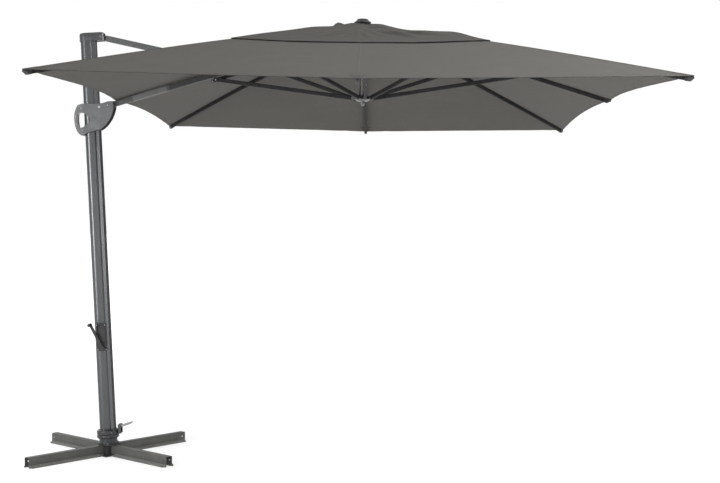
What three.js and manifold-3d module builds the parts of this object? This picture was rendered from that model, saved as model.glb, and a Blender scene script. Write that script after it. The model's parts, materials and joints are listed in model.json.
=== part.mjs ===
// Cantilever parasol, 3 x 4 m, on a cross base. Millimetres, +Z up.
// Origin: centre of the base's underside, where the mast axis meets the ground. +X runs from the mast to the canopy.
import * as THREE from 'three';
import { mergeVertices } from 'three/addons/utils/BufferGeometryUtils.js';
import Module from 'manifold-3d';

const wasm = await Module();
wasm.setup();

// ---------- driving dimensions ----------
const GAP = 0.3;                     // running gap between touching pieces
const LEAN = 2.88;                   // mast leans back by this angle, degrees
const CANOPY_X = 3000, CANOPY_Y = 4000;
const CX = 1535;                     // canopy centre in front of the mast foot
const Z_APEX = 2585, Z_CORNER = 2081, Z_CORNER_LEFT = 2114, Z_MID_X = 2143, Z_MID_Y = 2071;  // underside of the main cloth
const CLOTH = 5;                     // thickness of the cloth solids
const VENT_T = 0.16, CROWN_T = 0.46; // vent edge and crown hem, as shares of the roof's run
const LEG_ANGLE = 48.2, LEG_LEN = 572, LEG_H = 59.7, LEG_W = 44, LEG_FLANGE = 21, LEG_T = 3, LEG_FLANGE_T = 6;
const MAST_D = 95, MAST_W = 70, MAST_WALL = 3, MAST_LO = 150.3, MAST_HI = 2497;
const BEAM_SLOPE = 16.5, BEAM_LEN = 1436;
const PIVOT_BEAM = [105.2, 2104.0];  // beam pivot in the slider, in the mast's own frame
const PIVOT_TIE = [80.7, 2519.1];    // tie bar pivot in the mast head, in the mast's own frame
const TIE_ON_BEAM = 811;             // distance from beam pivot to tie bar pin along the beam
const HUB_R = 62;                    // radius of the rib and strut pivots
const Z_RIB = 2552, Z_RIB_SHORT = 2512, Z_RUNNER = 2150;
const RIB_W = 15, RIB_D = 26, STRUT_W = 15, STRUT_D = 24, STRUT_SIDE = 16.8, STRUT_PIN_LEFT = 2262.5;
const RUNNER_DROP = 1310;

const rad = (d) => d * Math.PI / 180;
const MAT = {
  base: [0x4b4c48, 0.6, 0.4], dark: [0x2b2d30, 0.5, 0.5], mast: [0x5d6164, 0.38, 0.75], black: [0x141516, 0.6, 0.1],
  slider: [0x7c8083, 0.4, 0.7], alu: [0x85888a, 0.35, 0.8], cloth: [0x5c5b56, 0.95, 0], steel: [0xb4b6b8, 0.25, 1],
};
const mat = (k) => new THREE.MeshStandardMaterial({ color: MAT[k][0], roughness: MAT[k][1], metalness: MAT[k][2] });

// ---------- solids ----------
function solid(geo) {
  const g = geo.index ? geo.toNonIndexed() : geo.clone();
  for (const k of Object.keys(g.attributes)) if (k !== 'position') g.deleteAttribute(k);
  const m = mergeVertices(g, 1e-4);
  return new wasm.Manifold(new wasm.Mesh({
    numProp: 3, vertProperties: new Float32Array(m.attributes.position.array), triVerts: new Uint32Array(m.index.array),
  }));
}
function geoOf(man) {
  const m = man.getMesh();
  const g = new THREE.BufferGeometry();
  g.setAttribute('position', new THREE.BufferAttribute(new Float32Array(m.vertProperties), 3));
  g.setIndex(new THREE.BufferAttribute(new Uint32Array(m.triVerts), 1));
  g.computeVertexNormals();
  return g;
}
const union = (a, ...bs) => bs.reduce((p, q) => p.add(q), a);
const cut = (a, ...bs) => bs.reduce((p, q) => p.subtract(q), a);
function box(x0, x1, y0, y1, z0, z1) {
  return new THREE.BoxGeometry(x1 - x0, y1 - y0, z1 - z0).translate((x0 + x1) / 2, (y0 + y1) / 2, (z0 + z1) / 2);
}
const cyl = (r, z0, z1, n = 24, r2 = r) => new THREE.CylinderGeometry(r2, r, z1 - z0, n).rotateX(Math.PI / 2).translate(0, 0, (z0 + z1) / 2);
const cylY = (r, y0, y1, x, z, n = 20) => new THREE.CylinderGeometry(r, r, y1 - y0, n).translate(x, (y0 + y1) / 2, z);
const shapeOf = (pts) => new THREE.Shape(pts.map((p) => new THREE.Vector2(p[0], p[1])));
function prism(pts, h, hole) {
  const s = shapeOf(pts);
  if (hole) s.holes.push(new THREE.Path(hole.map((p) => new THREE.Vector2(p[0], p[1]))));
  return new THREE.ExtrudeGeometry(s, { depth: h, bevelEnabled: false });
}
// outline in the X-Z plane, extruded along Y
const prismY = (pts, y0, y1) => prism(pts, y1 - y0).rotateX(Math.PI / 2).translate(0, y1, 0);
// rectangular tube along +X from x0 to x1, centred on the X axis
function tubeX(x0, x1, w, h, wall) {
  const r = (a, b) => [[-a, -b], [a, -b], [a, b], [-a, b]];
  return prism(r(h / 2, w / 2), x1 - x0, wall ? r(h / 2 - wall, w / 2 - wall) : null).rotateY(Math.PI / 2).translate(x0, 0, 0);
}
// rectangular tube with chamfered corners
function tubeXc(x0, x1, w, h, wall, c) {
  const r = (a, b, k) => [[-a + k, -b], [a - k, -b], [a, -b + k], [a, b - k], [a - k, b], [-a + k, b], [-a, b - k], [-a, -b + k]];
  return prism(r(h / 2, w / 2, c), x1 - x0, r(h / 2 - wall, w / 2 - wall, c * 0.6)).rotateY(Math.PI / 2).translate(x0, 0, 0);
}

const group = new THREE.Group();
function add(parent, name, geo, material) {
  const m = new THREE.Mesh(geo, mat(material));
  m.name = name;
  parent.add(m);
  return m;
}

// ---------- base ----------
const base = new THREE.Group();
group.add(base);
{
  const turn = (g) => g.rotateZ(rad(LEG_ANGLE));
  const hub = union(
    solid(turn(box(-85, 85, -85, 85, 0, 5))),
    solid(turn(box(-50, 50, -50, 50, 4, 61))),
    solid(cyl(72, 60, 66, 32)),
  );
  add(base, 'base_hub', geoOf(hub), 'base');
  const a = LEG_W / 2, b = a + LEG_FLANGE, t = LEG_T, f = LEG_FLANGE_T, h = LEG_H;
  const hat = [[-b, 0], [-a + t, 0], [-a + t, h - t], [a - t, h - t], [a - t, 0], [b, 0], [b, f - 1.5], [b - 1.5, f], [a, f], [a, h - 3], [a - 3, h], [-a + 3, h], [-a, h - 3], [-a, f], [-b + 1.5, f], [-b, f - 1.5]];
  const names = ['leg_back_right', 'leg_back_left', 'leg_front_left', 'leg_front_right'];
  for (let k = 0; k < 4; k++) {
    // section in Y-Z, running along +X from the hub's face outwards
    let g = prism(hat.map(([y, z]) => [-z, y]), LEG_LEN - 50.3).rotateY(Math.PI / 2).translate(50.3, 0, 0);
    let m = cut(solid(g), solid(box(0, 85.3, -60, 60, -1, 6.4)),
      solid(cylY(4.2, -40, 40, LEG_LEN - 22, 34, 12)));
    // flange corners at the free end are cut back
    for (const s of [1, -1]) m = cut(m, solid(prism([[LEG_LEN - 14, s * (b + 1)], [LEG_LEN + 1, s * (b + 1)], [LEG_LEN + 1, s * (b - 14)]].slice().sort(() => 0), 8).translate(0, 0, -2)));
    m = m.rotate([0, 0, LEG_ANGLE + 90 * k]);
    add(base, names[k], geoOf(m), 'base');
  }
}

// ---------- everything in the mast's own frame: x forward, z along the mast ----------
const mastFrame = new THREE.Group();
mastFrame.rotation.y = -rad(LEAN);
group.add(mastFrame);
{
  // fixed sleeve, its foot trimmed level on the hub
  const c = Math.cos(rad(LEAN)), s = Math.sin(rad(LEAN));
  let sleeve = union(solid(cyl(54, 60, 98.7, 32)), solid(cyl(60, 60, 74, 32)));
  const floorCut = new THREE.BoxGeometry(300, 300, 40).translate(0, 0, 66.3 - 20).rotateY(rad(LEAN));
  sleeve = cut(sleeve, solid(floorCut));
  add(mastFrame, 'foot_sleeve', geoOf(sleeve), 'dark');

  const collar = new THREE.LatheGeometry([[0, 99], [62, 99], [66, 103], [66, 118], [63.5, 121], [66, 124], [66, 146], [62, 150], [0, 150]].map((p) => new THREE.Vector2(...p)), 32).rotateX(Math.PI / 2);
  add(mastFrame, 'swivel_collar', collar, 'dark');

  // pedal housing on the front of the collar, open at the front for the pedal
  const ph = cut(solid(box(66.3, 84, -30, 30, 122, 176)), solid(box(70, 100, -24, 24, 128, 190)));
  add(mastFrame, 'pedal_housing', geoOf(ph), 'black');
  const pedalPts = [[72.5, 160], [96, 163], [142, 176.5], [152, 182], [152, 186], [140, 184.5], [94, 172.5], [72.5, 171]];
  add(mastFrame, 'foot_pedal', prismY(pedalPts, -22, 22), 'dark');

  // mast profile: round-backed tube with a stepped, grooved rail along its front
  const outer = [];
  const R = MAST_W / 2, xb = -MAST_D / 2;
  for (let i = 0; i <= 12; i++) { const a = rad(90 + i * 15); outer.push([xb + R + R * Math.cos(a), R * Math.sin(a)]); }
  const front = [[14, -35], [20, -33], [23.5, -28], [23.5, -26], [47.5, -24], [47.5, -7], [34, -7], [34, 7], [47.5, 7], [47.5, 24], [23.5, 26], [23.5, 28], [20, 33], [14, 35]];
  outer.push(...front);
  const inner = [];
  const Ri = R - MAST_WALL;
  for (let i = 0; i <= 12; i++) { const a = rad(90 + i * 15); inner.push([xb + R + Ri * Math.cos(a), Ri * Math.sin(a)]); }
  inner.push([13, -32], [18, -30], [20, -26], [20, -23], [29, -22], [29, 22], [20, 23], [20, 26], [18, 30], [13, 32]);
  add(mastFrame, 'mast', prism(outer, MAST_HI - MAST_LO, inner).translate(0, 0, MAST_LO), 'mast');

  // mast head: round-backed cap with a fork for the tie bar
  const cap = [];
  for (let i = 0; i <= 12; i++) { const a = rad(90 + i * 15); cap.push([-52 + 40 + 40 * Math.cos(a), 40 * Math.sin(a)]); }
  cap.push([70, -38], [92, -34], [101, -27], [101, 27], [92, 34], [70, 38]);
  const capLo = MAST_HI + GAP;
  let head = union(solid(prism(cap, 44).translate(0, 0, capLo)), solid(prism(cap.map(([x, y]) => [x * 0.965 + 0.8, y * 0.93]), 8).translate(0, 0, capLo + 44)));
  head = cut(head, solid(box(50, 120, -17, 17, capLo - 1, capLo + 43)), solid(cylY(4.4, -60, 60, PIVOT_TIE[0], PIVOT_TIE[1], 16)));
  add(mastFrame, 'mast_head', geoOf(head), 'dark');
  add(mastFrame, 'tie_bar_pin', cylY(4, -29, 29, PIVOT_TIE[0], PIVOT_TIE[1], 16), 'steel');

  // crank: housing on the mast's side, shaft and arm, knob
  const housing = cut(solid(box(-30, 26, -50, -35.3, 628, 792)), solid(box(-22, 18, -60, -44, 672, 784)), solid(cylY(8.5, -60, -30, 4, 645, 20)));
  add(mastFrame, 'crank_housing', geoOf(housing), 'black');
  const arm = union(
    solid(cylY(8, -68, -35.5, 0, 0, 20)),
    solid(cylY(13, -68, -56, 0, 0, 20)),
    solid(box(-8, 8, -67, -57, 4, 158)),
    solid(cylY(10, -68, -56, 0, 158, 20)),
  ).rotate([0, -27 + LEAN, 0]).translate([4, 0, 645]);
  add(mastFrame, 'crank_arm', geoOf(arm), 'dark');
  const knob = new THREE.LatheGeometry([[0, 0], [8, 0], [10.5, 4], [9, 14], [10, 30], [8, 37], [0, 39]].map((p) => new THREE.Vector2(...p)), 20)
    .rotateX(Math.PI).translate(0, -68.3, 0);
  const ka = rad(-27 + LEAN);
  add(mastFrame, 'crank_knob', knob.translate(4 + 158 * Math.sin(ka), 0, 645 + 158 * Math.cos(ka)), 'black');

  // slider: two half shells with a loop handle at the back
  const outline = [[-75.5, 2116.9], [-40.5, 2121], [5.7, 2120.6], [51.9, 2118.2], [75.1, 2119], [106.4, 2127.1], [129.6, 2127.8], [140.8, 2121.5], [142.6, 2102.1], [138.7, 2079.1], [129.6, 2052.6], [116.7, 2026.2], [95.9, 1996.4], [75.6, 1976.2], [51.7, 1960.1], [20.5, 1953.9], [-14.7, 1944.1], [-42.3, 1933.1], [-61.8, 1929.1], [-76.7, 1939.5], [-91.1, 1959.5], [-101.1, 1990.9], [-104.2, 2021.9], [-103.4, 2052.7], [-96.5, 2083.3], [-86.8, 2105.9]];
  const grip = [[-74, 2068.6], [-49, 2067.4], [-35.9, 2060.2], [-17.3, 2046.5], [-5.4, 2030.4], [-4.4, 2018.8], [-15.6, 2004], [-39.5, 1987.8], [-49.6, 1979.8], [-74, 1977.2], [-82.7, 1995.8], [-84.7, 2032.5], [-81, 2061.3]];
  const side = (y0, y1) => cut(
    solid(prismY(outline, y0, y1)), solid(prismY(grip, -60, 60)),
    solid(box(-50.5, 200, -38.3, 38.3, 1900, 2200)),
    solid(box(-130, -58, 24, 60, 1900, 2200)), solid(box(-130, -58, -60, -24, 1900, 2200)),
    solid(cylY(3.6, -60, 60, 54.6, 2095, 16)), solid(cylY(5.6, -60, 60, PIVOT_BEAM[0], PIVOT_BEAM[1], 20)),
  );
  add(mastFrame, 'slider_shell_near', geoOf(side(-46.3, -0.15)), 'slider');
  add(mastFrame, 'slider_shell_far', geoOf(side(0.15, 46.3)), 'slider');
  add(mastFrame, 'slider_roller', geoOf(cut(solid(cylY(6.4, -22, 22, 54.6, 2095, 20)), solid(cylY(3.5, -30, 30, 54.6, 2095, 16)))), 'black');
  add(mastFrame, 'slider_axle', geoOf(union(solid(cylY(3.2, -48, 48, 54.6, 2095, 16)), solid(cylY(6.5, -50, -46.6, 54.6, 2095, 16)), solid(cylY(6.5, 46.6, 50, 54.6, 2095, 16)))), 'steel');
  add(mastFrame, 'beam_pivot_pin', geoOf(union(solid(cylY(5, -48, 48, ...PIVOT_BEAM, 20)), solid(cylY(8, -49.5, -46.6, ...PIVOT_BEAM, 20)), solid(cylY(8, 46.6, 49.5, ...PIVOT_BEAM, 20)))), 'dark');
}

// point of the mast's frame in the world
const toWorld = ([d, s]) => [d * Math.cos(rad(LEAN)) - s * Math.sin(rad(LEAN)), d * Math.sin(rad(LEAN)) + s * Math.cos(rad(LEAN))];
const B = toWorld(PIVOT_BEAM), A = toWorld(PIVOT_TIE);

// ---------- beam: x along the beam from its pivot ----------
const beam = new THREE.Group();
beam.position.set(B[0], 0, B[1]);
beam.rotation.y = -rad(BEAM_SLOPE);
group.add(beam);
{
  const knuckle = cut(union(solid(box(-14, 22, -15, 15, -15, 15)), solid(tubeXc(14, 36, 32, 38, 12, 6)), solid(box(14, 30, -14, 14, -15, 15))), solid(cylY(5.3, -30, 30, 0, 0, 20)));
  add(beam, 'beam_knuckle', geoOf(knuckle), 'black');
  add(beam, 'beam_lower_tube', tubeXc(36.3, 148, 28, 34, 2.5, 6), 'mast');
  add(beam, 'beam_sleeve', tubeXc(148.3, 375, 32, 37, 2.5, 6), 'alu');
  add(beam, 'beam_main_tube', tubeXc(375.3, BEAM_LEN, 32, 38, 2.5, 5), 'dark');
}

// ---------- tie bar: x along the bar from the mast head ----------
const C = [B[0] + TIE_ON_BEAM * Math.cos(rad(BEAM_SLOPE)), B[1] + TIE_ON_BEAM * Math.sin(rad(BEAM_SLOPE))];
const tieLen = Math.hypot(C[0] - A[0], C[1] - A[1]);
const tieAng = Math.atan2(A[1] - C[1], C[0] - A[0]);
const tie = new THREE.Group();
tie.position.set(A[0], 0, A[1]);
tie.rotation.y = tieAng;
group.add(tie);
{
  const eye = cut(union(solid(cylY(13, -15, 15, 0, 0, 20)), solid(box(0, 28, -15, 15, -13, 13))), solid(cylY(4.5, -30, 30, 0, 0, 16)));
  add(tie, 'tie_bar_eye', geoOf(eye), 'black');
  add(tie, 'tie_bar', tubeXc(28.3, tieLen - 116, 25, 36, 2.5, 4), 'dark');
  const fork = union(
    solid(box(tieLen - 115.7, tieLen - 84, -20.6, 20.6, -15, 15)),
    solid(box(tieLen - 90, tieLen + 12, 16.6, 20.6, -12, 12)),
    solid(box(tieLen - 90, tieLen + 12, -20.6, -16.6, -12, 12)),
    solid(cylY(8, 20.4, 25, tieLen, 0, 16)), solid(cylY(8, -25, -20.4, tieLen, 0, 16)),
  );
  add(tie, 'tie_bar_fork', geoOf(fork), 'black');
}

// ---------- canopy frame ----------
const hubs = new THREE.Group();
hubs.position.set(CX, 0, 0);
group.add(hubs);
const RX = CANOPY_X / 2, RY = CANOPY_Y / 2;
const corner = Math.atan2(RY, RX) * 180 / Math.PI;
// the ribs: azimuth, run from the axis to the tip, underside height of the cloth at the tip, run to the strut pin
const RIBS = [
  ['right', 0, RX, Z_MID_X, 940], ['far_right', corner, Math.hypot(RX, RY), Z_CORNER, 925], ['far', 90, RY, Z_MID_Y, 930],
  ['far_left', 180 - corner, Math.hypot(RX, RY), Z_CORNER_LEFT, 925], ['left', 180, RX, Z_MID_X, 886],
  ['near_left', 180 + corner, Math.hypot(RX, RY), Z_CORNER_LEFT, 925], ['near', 270, RY, Z_MID_Y, 930], ['near_right', 360 - corner, Math.hypot(RX, RY), Z_CORNER, 925],
];
const topLug = (side, z) => RIBS.filter((r) => (r[0] === 'left') === (z !== 0)).map(([, az]) => [az, z]);
{
  let hub = union(solid(cyl(46, 2528, 2570, 32)), solid(cyl(50, 2568, 2574, 32)));
  for (const [n, az] of RIBS) {
    const z = n === 'left' ? Z_RIB_SHORT : Z_RIB;
    for (const y of [8.1, -11.1]) hub = union(hub, solid(box(30, 69, y, y + 3, z - 9, z + 9).rotateZ(rad(az))));
    if (n === 'left') hub = union(hub, solid(box(20, 45, -11, 11, z - 9, 2530).rotateZ(rad(az))));
  }
  hub = union(hub, solid(cyl(46, 2503, 2529, 32)));
  add(hubs, 'top_hub', geoOf(hub), 'black');
  add(hubs, 'centre_pole', cyl(12.5, 2118, 2502.7, 24), 'alu');
  add(hubs, 'pole_tip', cyl(7, 2104, 2117.7, 24, 12.5), 'black');
  add(hubs, 'crown_finial', new THREE.LatheGeometry([[0, 2607.5], [44, 2607.5], [48, 2611], [46, 2616], [36, 2623], [22, 2628], [0, 2629]].map((p) => new THREE.Vector2(...p)), 24).rotateX(Math.PI / 2), 'black');
  // runner: ring that carries the struts and slides down the pole
  let run = cut(union(solid(cyl(34, 2136, 2164, 28)), solid(cyl(45, 2141, 2146, 28))), solid(cyl(13.2, 2100, 2200, 24)));
  for (const [, az] of RIBS) for (const y of [STRUT_SIDE - 11.1, STRUT_SIDE + 8.1]) run = union(run, solid(box(28, 68, y, y + 3, Z_RUNNER - 8, Z_RUNNER + 8).rotateZ(rad(az))));
  add(hubs, 'strut_runner', geoOf(run), 'alu');
}
// bracket from the beam's end to the top hub, between the short rib's lugs and the cloth
{
  const xe = B[0] + (BEAM_LEN + GAP) * Math.cos(rad(BEAM_SLOPE));
  const ze = B[1] + (BEAM_LEN + GAP) * Math.sin(rad(BEAM_SLOPE));
  const br = union(
    solid(box(BEAM_LEN + GAP, BEAM_LEN + 24, -16, 16, -18, 18).rotateY(-rad(BEAM_SLOPE)).translate(B[0], 0, B[1])),
    solid(box(xe + 8, CX - 46.4, -14, 14, 2531, 2549)),
  );
  add(group, 'beam_end_bracket', geoOf(br), 'black');
}
// ribs and struts
for (const [name, az, run, zTip, pin] of RIBS) {
  const g = new THREE.Group();
  g.position.set(CX, 0, 0);
  g.rotation.z = rad(az);
  group.add(g);
  const short = name === 'left';
  const zp = short ? Z_RIB_SHORT : Z_RIB;
  const roof = (r) => Z_APEX + (zTip - Z_APEX) * r / run;
  const P = [pin, short ? STRUT_PIN_LEFT : roof(pin) - 24];
  // rib
  const tip = short ? [P[0], P[1] + 0] : [run - 22, roof(run - 22) - RIB_D / 2 - 4];
  const a = Math.atan2(zp - tip[1], tip[0] - HUB_R), len = Math.hypot(zp - tip[1], tip[0] - HUB_R);
  const rib = new THREE.Group();
  rib.position.set(HUB_R, 0, zp);
  rib.rotation.y = a;
  g.add(rib);
  const d = short ? 22 : RIB_D;
  add(rib, `rib_${name}`, tubeX(-2, short ? len + 16 : len - 26, RIB_W, d, 1.6), 'dark');
  if (!short) {
    const cap = union(solid(box(len - 25.7, len + 12, -10, 10, -RIB_D / 2 - 2, RIB_D / 2)), solid(box(len + 8, len + 20, -8, 8, -8, RIB_D / 2)));
    add(rib, `rib_tip_${name}`, geoOf(cap), 'black');
  }
  // strut
  const b = Math.atan2(P[1] - Z_RUNNER, P[0] - HUB_R), sl = Math.hypot(P[1] - Z_RUNNER, P[0] - HUB_R);
  const strut = new THREE.Group();
  strut.position.set(HUB_R, STRUT_SIDE, Z_RUNNER);
  strut.rotation.y = -b;
  g.add(strut);
  add(strut, `strut_${name}`, tubeX(-3, sl + 8, STRUT_W, STRUT_D, 1.5), 'dark');
}

// ---------- cloth solids ----------
// a ring-shaped shell between two shares of the run, with a given lift over the main cloth's underside
function shell(t0, t1, steps, lift, thick, pinch) {
  const dirs = [];
  for (let k = 0; k < 8; k++) {
    const [, az, run, z] = RIBS[k], [, az2, run2, z2] = RIBS[(k + 1) % 8];
    const p = [run * Math.cos(rad(az)), run * Math.sin(rad(az)), z], q = [run2 * Math.cos(rad(az2)), run2 * Math.sin(rad(az2)), z2];
    dirs.push({ p, in: 0 });
    dirs.push({ p: [(p[0] + q[0]) / 2, (p[1] + q[1]) / 2, (p[2] + q[2]) / 2], in: (Math.hypot(p[0] - q[0], p[1] - q[1]) > 1700 ? 48 : 18) * pinch });
  }
  const top = [], bot = [];
  for (let i = 0; i <= steps; i++) {
    const t = t0 + (t1 - t0) * i / steps;
    for (const { p, in: pull } of dirs) {
      const k = t * (1 - (pull / Math.hypot(p[0], p[1])) * (t / t1) ** 3);
      const z = Z_APEX + (p[2] - Z_APEX) * k + lift(t);
      bot.push([p[0] * k, p[1] * k, z]);
      top.push([p[0] * k, p[1] * k, z + thick]);
    }
  }
  const pos = [...bot, ...top].flat(), idx = [], n = 16, m = bot.length;
  const quad = (a, b, c, d) => idx.push(a, b, c, a, c, d);
  for (let i = 0; i < steps; i++) for (let j = 0; j < n; j++) {
    const a = i * n + j, b = i * n + (j + 1) % n, c = a + n, d = b + n;
    quad(m + a, m + c, m + d, m + b);
    quad(a, b, d, c);
  }
  for (let j = 0; j < n; j++) {
    const k = (j + 1) % n, e = steps * n;
    quad(j, m + j, m + k, k);
    quad(e + j, e + k, m + e + k, m + e + j);
  }
  const g = new THREE.BufferGeometry();
  g.setAttribute('position', new THREE.Float32BufferAttribute(pos, 3));
  g.setIndex(idx);
  return g;
}
{
  // slot in the left panel that the tie bar passes through
  const slot = new THREE.BoxGeometry(200, 66, 120).rotateY(-rad(BEAM_SLOPE)).translate(C[0] - 30 - CX, 0, C[1] + 32);
  const slotHi = new THREE.BoxGeometry(200, 66, 200).rotateY(-rad(BEAM_SLOPE)).translate(C[0] - 30 - CX, 0, C[1] + 90);
  const main = cut(solid(shell(VENT_T, 1, 3, () => 0, CLOTH, 1)), solid(slot), solid(slotHi));
  add(hubs, 'canopy_cloth', geoOf(main), 'cloth');
  const lift = (t) => (t < 0.1 ? 17 : 17 - (t - 0.1) * 20);
  const crown = shell(0.012, CROWN_T, 3, lift, 4, 0.3);
  add(hubs, 'crown_cloth', crown, 'cloth');
}

export default group;
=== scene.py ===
import json
import math

import bmesh
import bpy
import numpy as np
from mathutils import Matrix, Vector, noise

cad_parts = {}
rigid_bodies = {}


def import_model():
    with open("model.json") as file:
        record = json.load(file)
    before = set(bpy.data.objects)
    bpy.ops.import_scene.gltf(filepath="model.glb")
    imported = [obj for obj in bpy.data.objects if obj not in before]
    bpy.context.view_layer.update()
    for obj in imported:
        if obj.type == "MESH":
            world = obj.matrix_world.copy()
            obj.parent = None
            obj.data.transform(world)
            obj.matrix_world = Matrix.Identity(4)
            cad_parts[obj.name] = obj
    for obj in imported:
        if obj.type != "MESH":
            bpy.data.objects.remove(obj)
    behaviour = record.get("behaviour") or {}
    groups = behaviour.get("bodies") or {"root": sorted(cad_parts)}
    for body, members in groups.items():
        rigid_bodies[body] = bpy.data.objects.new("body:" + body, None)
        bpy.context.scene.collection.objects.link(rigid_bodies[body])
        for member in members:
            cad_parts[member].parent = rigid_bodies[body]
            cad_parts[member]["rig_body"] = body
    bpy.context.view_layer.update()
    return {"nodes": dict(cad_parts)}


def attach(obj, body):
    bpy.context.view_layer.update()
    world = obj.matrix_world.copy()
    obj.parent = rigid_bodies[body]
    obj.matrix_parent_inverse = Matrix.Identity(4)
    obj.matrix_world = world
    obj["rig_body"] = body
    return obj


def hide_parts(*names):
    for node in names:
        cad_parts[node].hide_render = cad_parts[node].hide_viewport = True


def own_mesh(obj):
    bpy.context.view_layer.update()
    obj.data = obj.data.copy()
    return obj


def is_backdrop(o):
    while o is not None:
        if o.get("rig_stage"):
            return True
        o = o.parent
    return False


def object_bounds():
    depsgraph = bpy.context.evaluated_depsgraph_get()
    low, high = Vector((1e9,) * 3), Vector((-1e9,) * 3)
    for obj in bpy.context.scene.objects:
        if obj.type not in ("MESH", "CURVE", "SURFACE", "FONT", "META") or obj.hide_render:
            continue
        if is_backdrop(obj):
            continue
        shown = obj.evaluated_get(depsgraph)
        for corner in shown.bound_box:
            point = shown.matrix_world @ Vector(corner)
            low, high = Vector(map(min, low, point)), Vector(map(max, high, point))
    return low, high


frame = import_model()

NODES = frame["nodes"]
COL = bpy.context.scene.collection
rad = math.radians

# ------------------------------------------------------------------ sizes (millimetres), as the CAD has them
LEAN = rad(2.88)
CX = 1535.0
Z_APEX, Z_CORNER, Z_CORNER_LEFT, Z_MID_X, Z_MID_Y = 2585.0, 2081.0, 2114.0, 2143.0, 2071.0
VENT_T, CROWN_T = 0.16, 0.46
MAST_D, MAST_W, MAST_LO, MAST_HI = 95.0, 70.0, 150.3, 2497.0
BEAM_SLOPE = rad(16.5)
PIVOT_BEAM, PIVOT_TIE = (105.2, 2104.0), (80.7, 2519.1)
TIE_ON_BEAM = 811.0
HUB_R, Z_RUNNER, STRUT_SIDE, STRUT_PIN_LEFT = 62.0, 2150.0, 16.8, 2262.5
RX, RY = 1500.0, 2000.0
CORNER = math.degrees(math.atan2(RY, RX))
RIBS = [
    ("right", 0.0, RX, Z_MID_X, 940.0), ("far_right", CORNER, math.hypot(RX, RY), Z_CORNER, 925.0),
    ("far", 90.0, RY, Z_MID_Y, 930.0), ("far_left", 180 - CORNER, math.hypot(RX, RY), Z_CORNER_LEFT, 925.0),
    ("left", 180.0, RX, Z_MID_X, 886.0), ("near_left", 180 + CORNER, math.hypot(RX, RY), Z_CORNER_LEFT, 925.0),
    ("near", 270.0, RY, Z_MID_Y, 930.0), ("near_right", 360 - CORNER, math.hypot(RX, RY), Z_CORNER, 925.0),
]

MM = Matrix.Scale(0.001, 4)
MAST = Matrix.Rotation(-LEAN, 4, "Y")


def T(x, y, z):
    return Matrix.Translation((x, y, z))


def RYm(a):
    return Matrix.Rotation(a, 4, "Y")


def RZm(a):
    return Matrix.Rotation(a, 4, "Z")


def to_world(d, s):
    return (d * math.cos(LEAN) - s * math.sin(LEAN), d * math.sin(LEAN) + s * math.cos(LEAN))


B = to_world(*PIVOT_BEAM)
A = to_world(*PIVOT_TIE)
C = (B[0] + TIE_ON_BEAM * math.cos(BEAM_SLOPE), B[1] + TIE_ON_BEAM * math.sin(BEAM_SLOPE))
TIE_LEN = math.hypot(C[0] - A[0], C[1] - A[1])
TIE_ANG = math.atan2(A[1] - C[1], C[0] - A[0])
BEAM = T(B[0], 0, B[1]) @ RYm(-BEAM_SLOPE)
TIE = T(A[0], 0, A[1]) @ RYm(TIE_ANG)

# ------------------------------------------------------------------ camera, light, floor
cam_data = bpy.data.cameras.new("camera")
cam = bpy.data.objects.new("camera", cam_data)
COL.objects.link(cam)
cam.location = (1.626, -7.640, 1.498)
cam.rotation_euler = (math.pi / 2, 0, rad(0.57))
cam_data.sensor_width = 36
cam_data.lens = 63.22
cam_data.shift_x = -0.0071
cam_data.shift_y = -0.0490
cam_data.clip_start, cam_data.clip_end = 0.1, 200
bpy.context.scene.camera = cam
bpy.context.scene.view_settings.view_transform = "Standard"
bpy.context.scene.view_settings.look = "None"


def area_light(name, loc, aim, w, h, power, colour=(1, 1, 1)):
    d = bpy.data.lights.new(name, "AREA")
    d.shape, d.size, d.size_y, d.energy, d.color = "RECTANGLE", w, h, power, colour
    o = bpy.data.objects.new(name, d)
    COL.objects.link(o)
    o.location = loc
    o.rotation_euler = (Vector(aim) - Vector(loc)).to_track_quat("-Z", "Y").to_euler()
    return o


area_light("key_right", (5.6, -3.4, 4.3), (2.5, -1.1, 2.2), 1.8, 1.8, 410)
area_light("fill_left", (-5.5, -6.5, 3.8), (0.4, 0, 1.6), 2.2, 3.6, 22)
area_light("strip_back", (-3.2, 5.2, 3.0), (0.2, 0, 1.3), 0.9, 4.0, 60)
area_light("strip_mast", (-3.05, -3.75, 1.5), (-0.04, 0, 1.5), 0.62, 1.8, 125)
area_light("strip_front", (-0.30, -6.2, 1.5), (0.0, 0, 1.5), 0.2, 1.6, 14)

world = bpy.data.worlds.new("studio")
bpy.context.scene.world = world
world.use_nodes = True
wt = world.node_tree
wt.nodes.clear()
w_out = wt.nodes.new("ShaderNodeOutputWorld")
w_mix = wt.nodes.new("ShaderNodeMixShader")
w_path = wt.nodes.new("ShaderNodeLightPath")
w_white = wt.nodes.new("ShaderNodeBackground")
w_white.inputs["Color"].default_value = (1, 1, 1, 1)
w_white.inputs["Strength"].default_value = 1.0
w_soft = wt.nodes.new("ShaderNodeBackground")
w_co = wt.nodes.new("ShaderNodeTexCoord")
w_sep = wt.nodes.new("ShaderNodeSeparateXYZ")
w_ramp = wt.nodes.new("ShaderNodeValToRGB")
w_map = wt.nodes.new("ShaderNodeMapRange")
w_map.inputs["From Min"].default_value = -1
w_map.inputs["From Max"].default_value = 1
wt.links.new(w_co.outputs["Generated"], w_sep.inputs[0])
wt.links.new(w_sep.outputs["Z"], w_map.inputs["Value"])
wt.links.new(w_map.outputs[0], w_ramp.inputs[0])
ramp = w_ramp.color_ramp
ramp.elements[0].position, ramp.elements[0].color = 0.30, (0.62, 0.62, 0.62, 1)
ramp.elements[1].position, ramp.elements[1].color = 0.86, (1.0, 1.0, 1.0, 1)
e = ramp.elements.new(0.50)
e.color = (0.66, 0.66, 0.665, 1)
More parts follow.
